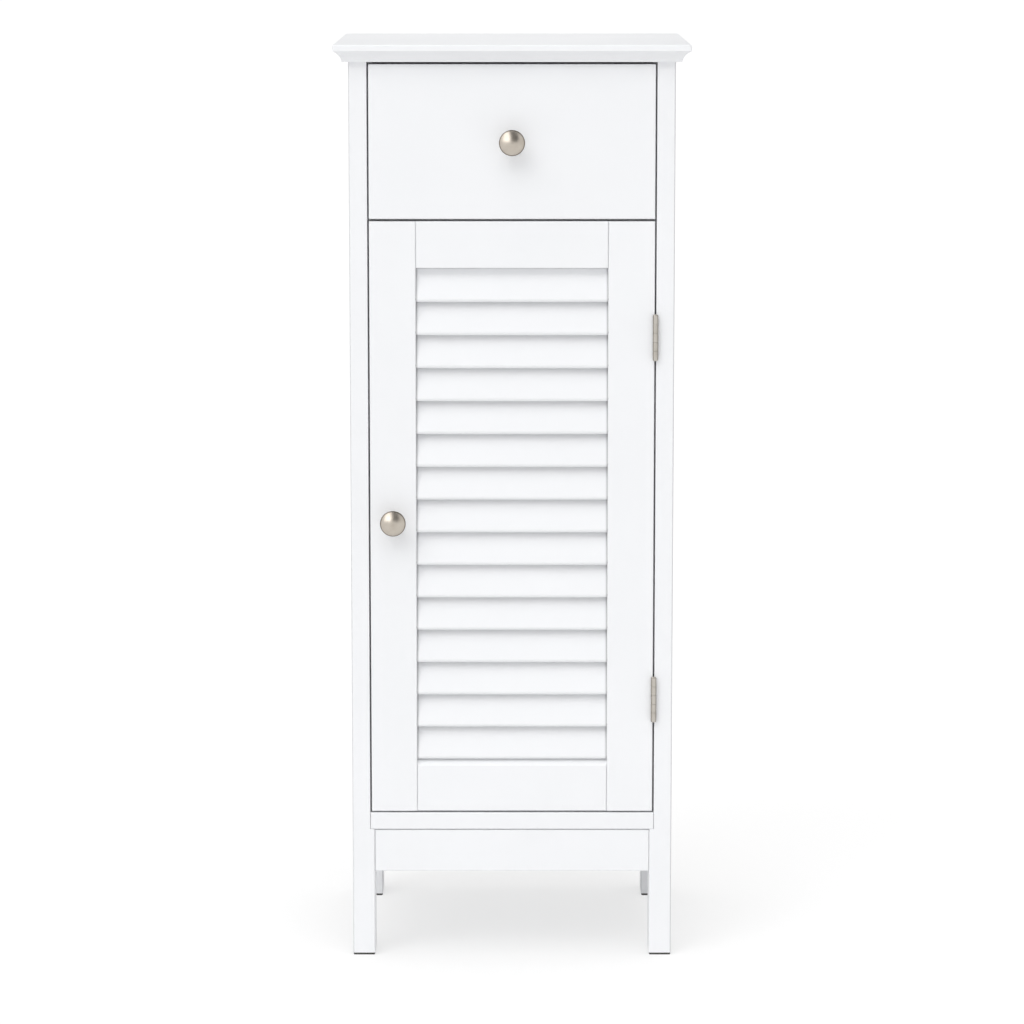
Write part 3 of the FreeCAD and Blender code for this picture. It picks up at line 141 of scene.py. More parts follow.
class Graph:
    """Node tree of one material or world, filled by short calls."""

    def __init__(self, owner):
        owner.use_nodes = True
        self.tree = owner.node_tree
        self.tree.nodes.clear()

    def add(self, kind, inputs=(), **settings):
        """New node; its inputs are given in order, or by name or number in a dictionary."""
        node = self.tree.nodes.new(kind)
        for name, value in settings.items():
            setattr(node, name, value)
        given = inputs.items() if isinstance(inputs, dict) else enumerate(inputs)
        for name, value in given:
            self.feed(node.inputs[name], value)
        return node

    def feed(self, socket, value):
        if isinstance(value, bpy.types.NodeSocket):
            self.tree.links.new(value, socket)
        else:
            socket.default_value = value

    def math(self, operation, *values):
        return self.add("ShaderNodeMath", values, operation=operation).outputs[0]

    def total(self, *terms):
        """Sum of terms, each a value or a pair of a value and the share of it that counts."""
        values = [self.math("MULTIPLY", *term) if isinstance(term, tuple) else term
                  for term in terms]
        summed = values[0]
        for value in values[1:]:
            summed = self.math("ADD", summed, value)
        return summed

    def vector_math(self, operation, *vectors):
        return self.add("ShaderNodeVectorMath", vectors, operation=operation)

    def mix(self, share, first, second):
        node = self.add("ShaderNodeMix", {0: share, 6: first, 7: second}, data_type="RGBA")
        return node.outputs[2]

    def span(self, value, low, high, new_low=0.0, new_high=1.0, smooth=False):
        """Carries a value from one range to another, held at both ends."""
        kind = "SMOOTHSTEP" if smooth else "LINEAR"
        node = self.add("ShaderNodeMapRange", {
            "Value": value, "From Min": low, "From Max": high,
            "To Min": new_low, "To Max": new_high}, interpolation_type=kind)
        return node.outputs["Result"]

    def object_point(self, scale=(1.0, 1.0, 1.0)):
        """Place on the piece, in metres, stretched by the scale of each axis."""
        coordinates = self.add("ShaderNodeTexCoord").outputs["Object"]
        return self.add("ShaderNodeMapping", {"Vector": coordinates, "Scale": scale}).outputs[0]

    def axes(self, vector):
        return self.add("ShaderNodeSeparateXYZ", {"Vector": vector}).outputs

    def geometry(self, name):
        return self.add("ShaderNodeNewGeometry").outputs[name]

    def noise(self, point, waves, detail=2.0, roughness=0.5):
        """Noise texture with a number of waves to the metre."""
        node = self.add("ShaderNodeTexNoise", {
            "Vector": point, "Scale": waves, "Detail": detail, "Roughness": roughness})
        return node.outputs["Fac"]

    def bump(self, height, strength, depth, normal=None):
        inputs = {"Height": height, "Strength": strength, "Distance": depth}
        if normal is not None:
            inputs["Normal"] = normal
        return self.add("ShaderNodeBump", inputs).outputs[0]

    def rounded_normal(self, radius):
        """Normal that runs smoothly over the sharp edges of the solid."""
        return self.add("ShaderNodeBevel", {"Radius": radius}, samples=BEVEL_SAMPLES).outputs[0]

    def edge_share(self, rounded):
        """0 on open faces, rising to 1 on the sharp edges."""
        turn = self.vector_math("DOT_PRODUCT", rounded, self.geometry("Normal"))
        return self.span(turn.outputs["Value"], *EDGE_TURN)

    def mix_shaders(self, share, first, second):
        return self.add("ShaderNodeMixShader", (share, first.outputs[0], second.outputs[0]))

    def show(self, shader, kind="ShaderNodeOutputMaterial"):
        self.add(kind, {"Surface": shader.outputs[0]})

    def surface(self, **sockets):
        """Principled shader joined to the output; sockets use the shader's own names."""
        inputs = {name.replace("_", " "): value for name, value in sockets.items()}
        self.show(self.add("ShaderNodeBsdfPrincipled", inputs))


def new_material(name):
    material = bpy.data.materials.new(name)
    return material, Graph(material)


# ---------------------------------------------------------------- paint

FULL_COAT = (srgb(244, 245, 247), srgb(242, 243, 245))
# The slats' coat is the same paint made a little darker as painted shade, against the extra light
# on their tilted faces.
SLAT_COAT_SHADED = (srgb(242, 243, 245), srgb(240, 241, 243))
PAINT_EASE = 0.45 * MM
PAINT_CLOUD_WAVES = 7.0
PAINT_PEEL_WAVES = 420.0
PAINT_GLOSS = 0.42
PAINT_ROUGHNESS = (0.36, 0.43)
PAINT_RELIEF = (0.10, 0.12 * MM)

GRAIN_STRETCH = 26.0
GRAIN_FIBRE_WAVES = 900.0
GRAIN_BRUSH_WAVES = 2600.0
GRAIN_ROUGHNESS = 0.03

PAINT_EDGE = srgb(237, 237, 238)
SANDED_WAVES = 160.0
SANDED_PATCHES = (0.35, 0.75)
SANDED_SHARE = 0.55
SANDED_ROUGHNESS = 0.08

# Painted shade: dark lines where shadow falls at the slat ends, under the top rail and on the post
# corners.
PAINTED_SHADE = srgb(182, 182, 184)
SLAT_HOUSED = 5.0 * MM
SHADE_LINE_REACH = 2.4 * MM
HEAD_SHADE_SHARE = 0.9
ARRIS_SHADE_REACH = 1.5 * MM
ARRIS_SHADE_SHARE = 0.75


def slat_joint_shade(graph, place):
    """Share of painted shade down the slat ends and under the top rail where the first slat meets
    it.
    """
    half_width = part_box("louvre_slat_01")[1].x - SLAT_HOUSED
    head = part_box("door_top_rail")[0].z
    ends = graph.span(graph.math("ABSOLUTE", place["X"]),
                      half_width - SHADE_LINE_REACH, half_width, smooth=True)
    top = graph.span(place["Z"], head - SHADE_LINE_REACH, head, 0.0, HEAD_SHADE_SHARE, smooth=True)
    return graph.math("MAXIMUM", ends, top)


def post_arris_shade(graph, place):
    """Share of painted shade along the outer front corner of the posts, where the rounded edge
    turns from the light.
    """
    low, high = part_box("front_right_post")
    inward = graph.math("SUBTRACT", high.x, graph.math("ABSOLUTE", place["X"]))
    behind = graph.math("SUBTRACT", place["Y"], low.y)
    return graph.span(graph.math("MAXIMUM", inward, behind),
                      0.0, ARRIS_SHADE_REACH, ARRIS_SHADE_SHARE, 0.0, smooth=True)


def white_paint(name, grain, coat=FULL_COAT, painted_shade=None):
    """Sprayed and lightly sanded satin paint: faint grain, orange peel, thinner on edges; some
    pieces also get painted shade lines.
    """
    material, graph = new_material(name)
    point = graph.object_point()
    grain_point = graph.object_point(along(grain, GRAIN_STRETCH))
    rounded = graph.rounded_normal(PAINT_EASE)

    cloud = graph.noise(point, PAINT_CLOUD_WAVES, detail=3.0)
    peel = graph.noise(point, PAINT_PEEL_WAVES)
    fibres = graph.noise(grain_point, GRAIN_FIBRE_WAVES, detail=3.0, roughness=0.6)
    brush = graph.noise(grain_point, GRAIN_BRUSH_WAVES, detail=1.0)
    patches = graph.span(graph.noise(point, SANDED_WAVES, detail=4.0), *SANDED_PATCHES)
    sanded = graph.math("MULTIPLY", graph.edge_share(rounded), patches)

    colour = graph.mix(graph.span(cloud, *PATCHES), *coat)
    colour = graph.mix(graph.math("MULTIPLY", sanded, SANDED_SHARE), colour, PAINT_EDGE)
    # Painted shade lines, on the pieces that are given them.
    if painted_shade is not None:
        colour = graph.mix(painted_shade(graph, graph.axes(point)), colour, PAINTED_SHADE)

    roughness = graph.total(graph.span(cloud, *SPREAD, *PAINT_ROUGHNESS),
                            graph.span(fibres, *SPREAD, -GRAIN_ROUGHNESS, GRAIN_ROUGHNESS),
                            (sanded, SANDED_ROUGHNESS))
    relief = graph.total((fibres, 0.5), (peel, 0.5), (brush, 0.2))
    graph.surface(Base_Color=colour, Roughness=roughness, Specular_IOR_Level=PAINT_GLOSS,
                  Normal=graph.bump(relief, *PAINT_RELIEF, rounded))
    return material


# ---------------------------------------------------------------- bare wood and hardboard

PINE = {"early": srgb(232, 208, 167), "late": srgb(205, 163, 112), "pore": srgb(176, 130, 84),
        "ring_width": 3.4 * MM}
BEECH = {"early": srgb(222, 190, 152), "late": srgb(203, 163, 123), "pore": srgb(160, 114, 78),
         "ring_width": 2.1 * MM}

# Growth rings: how far they wander along the grain and bunch up over the years, and the part
# of a year in which the late wood darkens before its sharp end.
RING_WANDER_STRETCH = 9.0
RING_WANDER_WAVES = 11.0
RING_WANDER = 2.4
RING_YEAR_WAVES = 95.0
RING_YEARS = 5.0
LATE_RISE = (0.45, 0.95)
LATE_END = (1.0, 0.96)
LATE_SHARE = 0.8

WOOD_FIBRE_STRETCH = 40.0
WOOD_FIBRE_WAVES = 1500.0
WOOD_FIBRE_SHARE = 0.18
PORE_STRETCH = 18.0
PORE_WAVES = 2300.0
PORE_SPAN = (0.62, 0.72)
PORE_SHARE = 0.45
WOOD_PATCH_WAVES = 9.0
WOOD_PATCH_SHARE = 0.14
WOOD_EASE = 0.4 * MM
WOOD_GLOSS = 0.35
WOOD_ROUGHNESS = (0.55, 0.67)
WOOD_RELIEF = (0.22, 0.15 * MM)

BOARD_FACE = (srgb(240, 240, 238), srgb(235, 234, 229))
BOARD_CLOUD_WAVES = 5.0
BOARD_FIBRE_WAVES = 700.0
BOARD_FLECK = srgb(214, 208, 196)
BOARD_FLECK_WAVES = 1300.0
BOARD_FLECK_SPAN = (0.63, 0.70)
BOARD_FLECK_SHARE = 0.25
BOARD_SCREEN = srgb(226, 224, 217)
BOARD_SCREEN_WAVES = 260.0
BOARD_SCREEN_SHARE = 0.35
BOARD_REAR_SPAN = (0.4, 0.6)
BOARD_ROUGHNESS = (0.42, 0.56)
BOARD_RELIEF = (0.25, 0.2 * MM)


def from_pith(graph, point, grain, pith):
    """Distance from the pith, a line along the grain at two places across it."""
    separate = graph.axes(point)
    squares = []
    for axis, centre in zip((axis for axis in "XYZ" if axis != grain), pith):
        offset = graph.math("SUBTRACT", separate[axis], centre)
        squares.append(graph.math("MULTIPLY", offset, offset))
    return graph.math("SQRT", graph.math("ADD", *squares))


def wood(name, grain, pith, early, late, pore, ring_width):
    """Bare sanded wood as a solid texture: growth rings round a pith line, fibres and pores."""
    material, graph = new_material(name)
    point = graph.object_point()
    radius = from_pith(graph, point, grain, pith)
    wander = graph.noise(graph.object_point(along(grain, RING_WANDER_STRETCH)),
                         RING_WANDER_WAVES, detail=3.0)
    years = graph.noise(graph.add("ShaderNodeCombineXYZ", {"X": radius}).outputs[0],
                        RING_YEAR_WAVES)
    rings = graph.total(graph.math("DIVIDE", radius, ring_width),
                        (wander, RING_WANDER), (years, RING_YEARS))
    phase = graph.math("FRACT", rings)
    late_share = graph.math("MULTIPLY", graph.span(phase, *LATE_RISE, smooth=True),
                            graph.span(phase, *LATE_END))

    fibres = graph.noise(graph.object_point(along(grain, WOOD_FIBRE_STRETCH)),
                         WOOD_FIBRE_WAVES, detail=3.0, roughness=0.65)
    pores = graph.span(graph.noise(graph.object_point(along(grain, PORE_STRETCH)),
                                   PORE_WAVES, detail=1.0), *PORE_SPAN)
    patch = graph.noise(point, WOOD_PATCH_WAVES)

    colour = graph.mix(graph.math("MULTIPLY", late_share, LATE_SHARE), early, late)
    colour = graph.mix(graph.span(fibres, *SPREAD, 0.0, WOOD_FIBRE_SHARE), colour, late)
    colour = graph.mix(graph.math("MULTIPLY", pores, PORE_SHARE), colour, pore)
    colour = graph.mix(graph.span(patch, *PATCHES, 0.0, WOOD_PATCH_SHARE), colour, late)

    relief = graph.total((fibres, 0.6), (pores, -0.6), (late_share, 0.3))
    rounded = graph.rounded_normal(WOOD_EASE)
    graph.surface(Base_Color=colour, Roughness=graph.span(fibres, *SPREAD, *WOOD_ROUGHNESS),
                  Specular_IOR_Level=WOOD_GLOSS,
                  Normal=graph.bump(relief, *WOOD_RELIEF, rounded))
    return material


def white_hardboard():
    """Thin hardboard, white lacquer on the face and a fine screen pattern pressed in its back."""
    material, graph = new_material("white_hardboard_finish")
    point = graph.object_point()
    weave = []
    for axis in "XZ":
        bands = graph.add("ShaderNodeTexWave", {
            "Vector": point, "Scale": BOARD_SCREEN_WAVES, "Distortion": 0.6,
            "Detail": 1.0, "Detail Scale": 3.0}, bands_direction=axis)
        weave.append(bands.outputs["Fac"])
    screen = graph.math("MULTIPLY", *weave)
    rear = graph.span(graph.axes(graph.geometry("Normal"))["Y"], *BOARD_REAR_SPAN)
    pressed = graph.math("MULTIPLY", rear, screen)
    cloud = graph.noise(point, BOARD_CLOUD_WAVES, detail=3.0)
    fibres = graph.noise(point, BOARD_FIBRE_WAVES, detail=4.0, roughness=0.7)
    flecks = graph.span(graph.noise(point, BOARD_FLECK_WAVES), *BOARD_FLECK_SPAN)

    colour = graph.mix(graph.span(cloud, *PATCHES), *BOARD_FACE)
    colour = graph.mix(graph.math("MULTIPLY", flecks, BOARD_FLECK_SHARE), colour, BOARD_FLECK)
    colour = graph.mix(graph.math("MULTIPLY", pressed, BOARD_SCREEN_SHARE), colour, BOARD_SCREEN)
    height = graph.mix(rear, graph.math("MULTIPLY", fibres, 0.4), screen)
    graph.surface(Base_Color=colour, Roughness=graph.span(fibres, *SPREAD, *BOARD_ROUGHNESS),
                  Normal=graph.bump(height, *BOARD_RELIEF))
    return material


# ---------------------------------------------------------------- metal and plastic

NICKEL_EASE = 0.25 * MM
NICKEL_CLOUD_WAVES = 120.0
NICKEL_GRAIN_WAVES = 5200.0
NICKEL_ROUGHNESS = (0.31, 0.38)
NICKEL_GRAIN_ROUGHNESS = (-0.02, 0.03)
NICKEL_RELIEF = (0.08, 0.03 * MM)
NICKEL_EDGE = srgb(214, 208, 199)
NICKEL_EDGE_SHARE = 0.4
# Painted shade on the knob rims, and a painted dark reflection on the hinge knuckle flanks.
NICKEL_PAINTED_SHADE = srgb(112, 103, 94)
KNOB_TONES = (srgb(198, 190, 179), srgb(188, 179, 167))
KNOB_RIM_SPAN = (10.7 * MM, 11.5 * MM)
KNOB_RIM_SHARE = 0.95
KNOB_LINE_PITCH = 0.25 * MM
KNOB_LINE_SHARE = 0.25
HINGE_TONES = (srgb(199, 194, 186), srgb(189, 184, 175))
HINGE_FLANK_SPAN = (0.7 * MM, 2.5 * MM)
HINGE_FLANK_SHARE = 0.6

ZINC_TONES = (srgb(196, 199, 202), srgb(178, 178, 172))
ZINC_EASE = 0.12 * MM
ZINC_PATCH_WAVES = 260.0
ZINC_PATCHES = (0.35, 0.65)
ZINC_SPANGLE_WAVES = 900.0
ZINC_ROUGHNESS = (0.28, 0.46)
ZINC_RELIEF = (0.12, 0.03 * MM)

MAGNET_TONES = (srgb(128, 130, 132), srgb(96, 97, 100))
MAGNET_SQUEEZE = (1.0, 30.0, 30.0)
MAGNET_LINE_WAVES = 160.0
MAGNET_ROUGHNESS = (0.3, 0.5)
MAGNET_RELIEF = (0.1, 0.03 * MM)

WHITE_PLASTIC = (srgb(233, 232, 226), srgb(224, 222, 214))
DARK_PLASTIC = (srgb(58, 56, 54), srgb(74, 72, 69))
PLASTIC_EASE = 0.3 * MM
PLASTIC_GRAIN_WAVES = 3200.0
PLASTIC_RUB_WAVES = 180.0
PLASTIC_ROUGHNESS = (0.42, 0.58)
PLASTIC_RELIEF = (0.3, 0.05 * MM)


def from_axis(graph, point, node, across):
    """Distance from the middle line of a node, counted along the axes in across."""
    low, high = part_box(node)
    offset = graph.vector_math("SUBTRACT", point, (low + high) / 2)
    flat = graph.vector_math("MULTIPLY", offset.outputs[0], across)
    return graph.vector_math("LENGTH", flat.outputs[0]).outputs["Value"]


def satin_nickel(name, tones, knob=None):
    """Satin nickel with small clouding; a knob also has turning lines. Its rim is darkened as
    painted shade, and the flanks of the hinge knuckles as a painted dark reflection."""
    material, graph = new_material(name)
    point = graph.object_point()
    rounded = graph.rounded_normal(NICKEL_EASE)
    clouds = graph.noise(point, NICKEL_CLOUD_WAVES, detail=4.0)
    grain = graph.noise(point, NICKEL_GRAIN_WAVES, roughness=0.6)
    colour = graph.mix(graph.span(clouds, *PATCHES), *tones)
    edge = graph.edge_share(rounded)
    colour = graph.mix(graph.math("MULTIPLY", edge, NICKEL_EDGE_SHARE), colour, NICKEL_EDGE)
    if knob is not None:
        radius = from_axis(graph, point, knob, (1.0, 0.0, 1.0))
        rim = graph.span(radius, *KNOB_RIM_SPAN, smooth=True)
        dark = graph.math("MULTIPLY", rim, KNOB_RIM_SHARE)
        turns = graph.math("MULTIPLY", radius, 2 * math.pi / KNOB_LINE_PITCH)
        grain = graph.total(grain, (graph.math("SINE", turns), KNOB_LINE_SHARE))
    else:
        aside = from_axis(graph, point, "hinge_pins", (1.0, 0.0, 0.0))
        flank = graph.span(aside, *HINGE_FLANK_SPAN, smooth=True)
        dark = graph.math("MULTIPLY", flank, HINGE_FLANK_SHARE)
    colour = graph.mix(dark, colour, NICKEL_PAINTED_SHADE)
    roughness = graph.total(graph.span(clouds, *SPREAD, *NICKEL_ROUGHNESS),
                            graph.span(grain, *SPREAD, *NICKEL_GRAIN_ROUGHNESS))
    graph.surface(Base_Color=colour, Metallic=1.0, Roughness=roughness,
                  Normal=graph.bump(grain, *NICKEL_RELIEF, rounded))
    return material


def zinc_plated_steel():
    """Bright zinc: cold grey, patchy passivation, slightly rough from the drawing of the wire."""
    material, graph = new_material("zinc_plated_steel_finish")
    point = graph.object_point()
    rounded = graph.rounded_normal(ZINC_EASE)
    spangle = graph.noise(point, ZINC_SPANGLE_WAVES, detail=3.0)
    patch = graph.noise(point, ZINC_PATCH_WAVES, detail=3.0)
    colour = graph.mix(graph.span(patch, *ZINC_PATCHES), *ZINC_TONES)
    graph.surface(Base_Color=colour, Metallic=1.0,
                  Roughness=graph.span(spangle, *SPREAD, *ZINC_ROUGHNESS),
                  Normal=graph.bump(spangle, *ZINC_RELIEF, rounded))
    return material


def magnet_steel():
    """Pole plates and ferrite: dark grey with a ground face."""
    material, graph = new_material("magnet_steel_finish")
    lines = graph.noise(graph.object_point(MAGNET_SQUEEZE), MAGNET_LINE_WAVES, detail=3.0)
    graph.surface(Base_Color=graph.mix(graph.span(lines, *SPREAD), *MAGNET_TONES), Metallic=1.0,
                  Roughness=graph.span(lines, *SPREAD, *MAGNET_ROUGHNESS),
                  Normal=graph.bump(lines, *MAGNET_RELIEF))
    return material


def moulded_plastic(name, tones):
    """Fine spark-eroded texture of a small moulding, duller where it is rubbed."""
    material, graph = new_material(name)
    point = graph.object_point()
    rounded = graph.rounded_normal(PLASTIC_EASE)
    grain = graph.noise(point, PLASTIC_GRAIN_WAVES, roughness=0.6)
    rub = graph.noise(point, PLASTIC_RUB_WAVES, detail=3.0)
    graph.surface(Base_Color=graph.mix(graph.span(rub, *PATCHES), *tones),
                  Roughness=graph.span(grain, *SPREAD, *PLASTIC_ROUGHNESS),
                  Normal=graph.bump(grain, *PLASTIC_RELIEF, rounded))
    return material


# ---------------------------------------------------------------- which piece has which finish

UPRIGHT_PAINTED = [
    "rear_left_post", "rear_right_post", "left_side_panel", "right_side_panel",
    "door_left_stile", "door_right_stile"]
LEVEL_PAINTED = [
    "top_panel", "bottom_panel", "divider_panel", "front_apron", "rear_apron",
    "adjustable_shelf", "door_top_rail", "door_bottom_rail", "drawer_front"]
SLATS = [name for name in NODES if name.startswith("louvre_slat")]
HINGE_LEAVES = ["%s_hinge_%s_leaf" % (height, side)
                for height in ("upper", "lower") for side in ("frame", "door")]

# Pith lines of the wooden pieces, at two places across the grain.
SIDE_PITH = (-0.21, 0.60)
CROSS_PITH = (-0.02, 0.64)
RUNNER_PITH = (0.03, 0.70)
DOWEL_PITH = (0.0, 0.02)


def finish_nodes():
    groups = [
        (white_paint("white_paint_upright", "Z"), UPRIGHT_PAINTED),
        (white_paint("white_paint_level", "X"), LEVEL_PAINTED),
        (white_paint("white_paint_front_posts", "Z", painted_shade=post_arris_shade),
         ["front_left_post", "front_right_post"]),
        (white_paint("white_paint_slats", "X", SLAT_COAT_SHADED, slat_joint_shade), SLATS),
        (wood("bare_pine_side", "Y", SIDE_PITH, **PINE),
         ["drawer_left_side", "drawer_right_side"]),
        (wood("bare_pine_cross", "X", CROSS_PITH, **PINE),
         ["drawer_inner_front", "drawer_back"]),
        (wood("bare_beech_runner", "Y", RUNNER_PITH, **BEECH),
         ["left_drawer_runner", "right_drawer_runner"]),
        (wood("bare_beech_dowel", "X", DOWEL_PITH, **BEECH), ["dowels"]),
        (satin_nickel("satin_nickel_hinge", HINGE_TONES), ["hinge_pins"] + HINGE_LEAVES),
        (white_hardboard(), ["back_panel", "drawer_bottom"]),
        (satin_nickel("satin_nickel_door_knob", KNOB_TONES, "door_knob"), ["door_knob"]),
        (satin_nickel("satin_nickel_drawer_knob", KNOB_TONES, "drawer_knob"), ["drawer_knob"]),
        (magnet_steel(), ["catch_magnet"]),
        (moulded_plastic("white_plastic_finish", WHITE_PLASTIC), ["catch_housing"]),
        (moulded_plastic("dark_plastic_finish", DARK_PLASTIC), ["foot_glides"]),
        (zinc_plated_steel(), ["cam_bolts", "cam_nuts", "shelf_pins", "catch_strike_plate"]),
    ]
    for material, names in groups:
        for name in names:
            NODES[name].data.materials.clear()
            NODES[name].data.materials.append(material)


# ---------------------------------------------------------------- screws

# Nodes that are all screws, and the bodies that they belong to.
SCREW_NODES = [
    ("fixing_screws", "carcass"), ("hinge_frame_screws", "carcass"),
    ("door_screws", "door"), ("drawer_screws", "drawer")]
SCREW_SEGMENTS = 40

# A straight stretch of shank longer than THREAD_LEAST is threaded, with THREAD_ROWS rings of
# vertices to a turn. The thread grows over the first quarter of the stretch, runs out over
# its last eighth, and is cut down to THREAD_CORE of the radius in between.
THREAD_CORE = 0.74
THREAD_PITCH = 1.3 * MM
THREAD_ROWS = 6
THREAD_LEAST = 3 * THREAD_PITCH
THREAD_CREST_SLOPE = 3.2
THREAD_GROWTH = 4
THREAD_RUNOUT = 8

# The cross recess: its arms and depth in shares of the head's radius, and what is left of the
# arms at its bottom.
RECESS_REACH = 0.56
RECESS_WIDTH = 0.17
RECESS_DEPTH = 0.5
RECESS_TAPER = 0.55

# Distances up to which vertices, places and rings count as one.
SAME_VERTEX = 0.001 * MM
SAME_PLACE = 0.01 * MM
SAME_RING = 3 * SAME_PLACE
SMOOTH_ANGLE = math.radians(32)


def link(thing):
    bpy.context.scene.collection.objects.link(thing)
    return thing


def mesh_of(form, name):
    """Mesh with the faces of a form, which is freed."""
    mesh = bpy.data.meshes.new(name)
    form.to_mesh(mesh)
    form.free()
    return mesh


def solids_of(node):
    """Each separate solid of a node as the list of its vertex places."""
    form = bmesh.new()
    form.from_mesh(NODES[node].data)
    bmesh.ops.remove_doubles(form, verts=form.verts, dist=SAME_VERTEX)
    waiting = set(form.verts)
    solids = []
    while waiting:
        found = {waiting.pop()}
        front = list(found)
        while front:
            vertex = front.pop()
            for edge in vertex.link_edges:
                other = edge.other_vert(vertex)
                if other in waiting:
                    waiting.remove(other)
                    found.add(other)
                    front.append(other)
        solids.append([vertex.co.copy() for vertex in found])
    form.free()
    return sorted(solids, key=lambda points: tuple(sum(points, Vector()) / len(points)))


def to_grid(length):
    return round(length / SAME_PLACE) * SAME_PLACE


class Screw:
    """One screw, read from its solid: start of the head, direction of the tip, and outline."""

    def __init__(self, points):
        low = Vector([min(point[i] for point in points) for i in range(3)])
        high = Vector([max(point[i] for point in points) for i in range(3)])
        size = high - low
        self.axis = max(range(3), key=lambda i: size[i])
        self.centre = (low + high) / 2
        widest = max(points, key=self.radius)
        head_is_high = widest[self.axis] > self.centre[self.axis]
        self.start = self.centre.copy()
        self.start[self.axis] = high[self.axis] if head_is_high else low[self.axis]
        self.direction = Vector((0, 0, 0))
        self.direction[self.axis] = -1.0 if head_is_high else 1.0
        self.outline = self.outline_of(points)
        self.head_radius = max(radius for depth, radius in self.outline)

    def radius(self, point):
        offset = point - self.centre
        offset[self.axis] = 0.0
        return offset.length

    def outline_of(self, points):
        """Rings of (depth, radius) from head to tip, one where several nearly meet."""
        rings = {(to_grid(abs(point[self.axis] - self.start[self.axis])),
                  to_grid(self.radius(point))) for point in points}
        rings = sorted((ring for ring in rings if ring[1] > SAME_PLACE),
                       key=lambda ring: (ring[0], -ring[1]))
        outline = [rings[0]]
        for depth, radius in rings[1:]:
            last_depth, last_radius = outline[-1]
            if abs(depth - last_depth) + abs(radius - last_radius) > SAME_RING:
                outline.append((depth, radius))
        return outline


def add_skin(form, rows):
    """Closed skin over rows of vertices, each a ring; its two ends are capped."""
    for upper, lower in zip(rows, rows[1:]):
        for index in range(len(upper)):
            following = (index + 1) % len(upper)
            form.faces.new((upper[index], upper[following], lower[following], lower[index]))
    form.faces.new(list(reversed(rows[0])))
    form.faces.new(rows[-1])
    bmesh.ops.recalc_face_normals(form, faces=form.faces)


def steady(radius):
    """Radius of a plain ring, the same at every angle."""
    return lambda turn: radius


def threaded(radius, depth, fade):
    """Radius of a screw thread at one depth, as a function of the angle round the shaft."""
    def reach(turn):
        phase = (depth / THREAD_PITCH - turn / (2 * math.pi)) % 1.0
        crest = max(0.0, 1.0 - abs(phase - 0.5) * THREAD_CREST_SLOPE)
        core = radius * (1.0 - (1.0 - THREAD_CORE) * fade)
        return core + (radius - core) * crest
    return reach


def screw_mesh(outline):
    """Turned screw with a rolled thread, from its outline of (depth, radius)."""
    rings = []
    for (depth, radius), (next_depth, next_radius) in zip(outline, outline[1:]):
        rings.append((depth, steady(radius)))
        length = next_depth - depth
        if abs(radius - next_radius) < SAME_PLACE and length > THREAD_LEAST:
            steps = int(length / THREAD_PITCH * THREAD_ROWS)
            for step in range(1, steps):
                share = step / steps
                fade = min(1.0, share * THREAD_GROWTH, (1.0 - share) * THREAD_RUNOUT)
                at = depth + length * share
                rings.append((at, threaded(radius, at, fade)))
    rings.append((outline[-1][0], steady(outline[-1][1])))

    turns = [2 * math.pi * step / SCREW_SEGMENTS for step in range(SCREW_SEGMENTS)]
    form = bmesh.new()
    add_skin(form, [[form.verts.new((reach(turn) * math.cos(turn),
                                     reach(turn) * math.sin(turn), depth)) for turn in turns]
                    for depth, reach in rings])
    return mesh_of(form, "screw")


def recess_mesh(head_radius):
    """Cross-shaped punch that narrows from the face of the head towards its tip."""
    arm = head_radius * RECESS_REACH
    half = head_radius * RECESS_WIDTH
    corners = [(half, half), (half, arm), (-half, arm),
               (-half, half), (-arm, half), (-arm, -half),
               (-half, -half), (-half, -arm), (half, -arm),
               (half, -half), (arm, -half), (arm, half)]
    levels = [(-head_radius, 1.0), (0.0, 1.0), (head_radius * RECESS_DEPTH, RECESS_TAPER)]
    form = bmesh.new()
    add_skin(form, [[form.verts.new((x * taper, y * taper, depth)) for x, y in corners]
                    for depth, taper in levels])
    return mesh_of(form, "recess")


def without(mesh, cutter_mesh):
    """What is left of a mesh once a cutter has been taken from it."""
    body = link(bpy.data.objects.new("body", mesh))
    cutter = link(bpy.data.objects.new("cutter", cutter_mesh))
    modifier = body.modifiers.new("cut", "BOOLEAN")
    modifier.operation = "DIFFERENCE"
    modifier.solver = "EXACT"
    modifier.object = cutter
    bpy.context.view_layer.update()
    graph = bpy.context.evaluated_depsgraph_get()
    result = bpy.data.meshes.new_from_object(body.evaluated_get(graph))
    for thing in (body, cutter):
        bpy.data.objects.remove(thing)
    return result


def turned_to(direction, start):
    """Matrix that takes the screw from the origin and +Z to its place and direction."""
    matrix = Vector((0, 0, 1)).rotation_difference(direction).to_matrix().to_4x4()
    matrix.translation = start
    return matrix


def detailed_screws(node, body, material):
    """One piece with all screws of a node, cut and threaded, in place of the plain solids."""
    form = bmesh.new()
    ready = {}
    for points in solids_of(node):
        screw = Screw(points)
        kind = tuple(screw.outline)
        if kind not in ready:
            ready[kind] = without(screw_mesh(screw.outline), recess_mesh(screw.head_radius))
        part = ready[kind].copy()
        part.transform(turned_to(screw.direction, screw.start))
        form.from_mesh(part)
        bpy.data.meshes.remove(part)
    mesh = mesh_of(form, node + "_cut")
    mesh.polygons.foreach_set("use_smooth", [True] * len(mesh.polygons))
    mesh.set_sharp_from_angle(angle=SMOOTH_ANGLE)
    mesh.materials.append(material)
    piece = link(bpy.data.objects.new(node + "_cut", mesh))
    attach(piece, body)
    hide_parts(node)


# ---------------------------------------------------------------- studio

def seen_directly(graph):
    """1 for camera rays and for what metal and glass show, 0 for the light on surfaces."""
    path = graph.add("ShaderNodeLightPath").outputs
    direct = graph.math("MAXIMUM", path["Is Camera Ray"], path["Is Glossy Ray"])
    return graph.math("MAXIMUM", direct, path["Is Transmission Ray"])


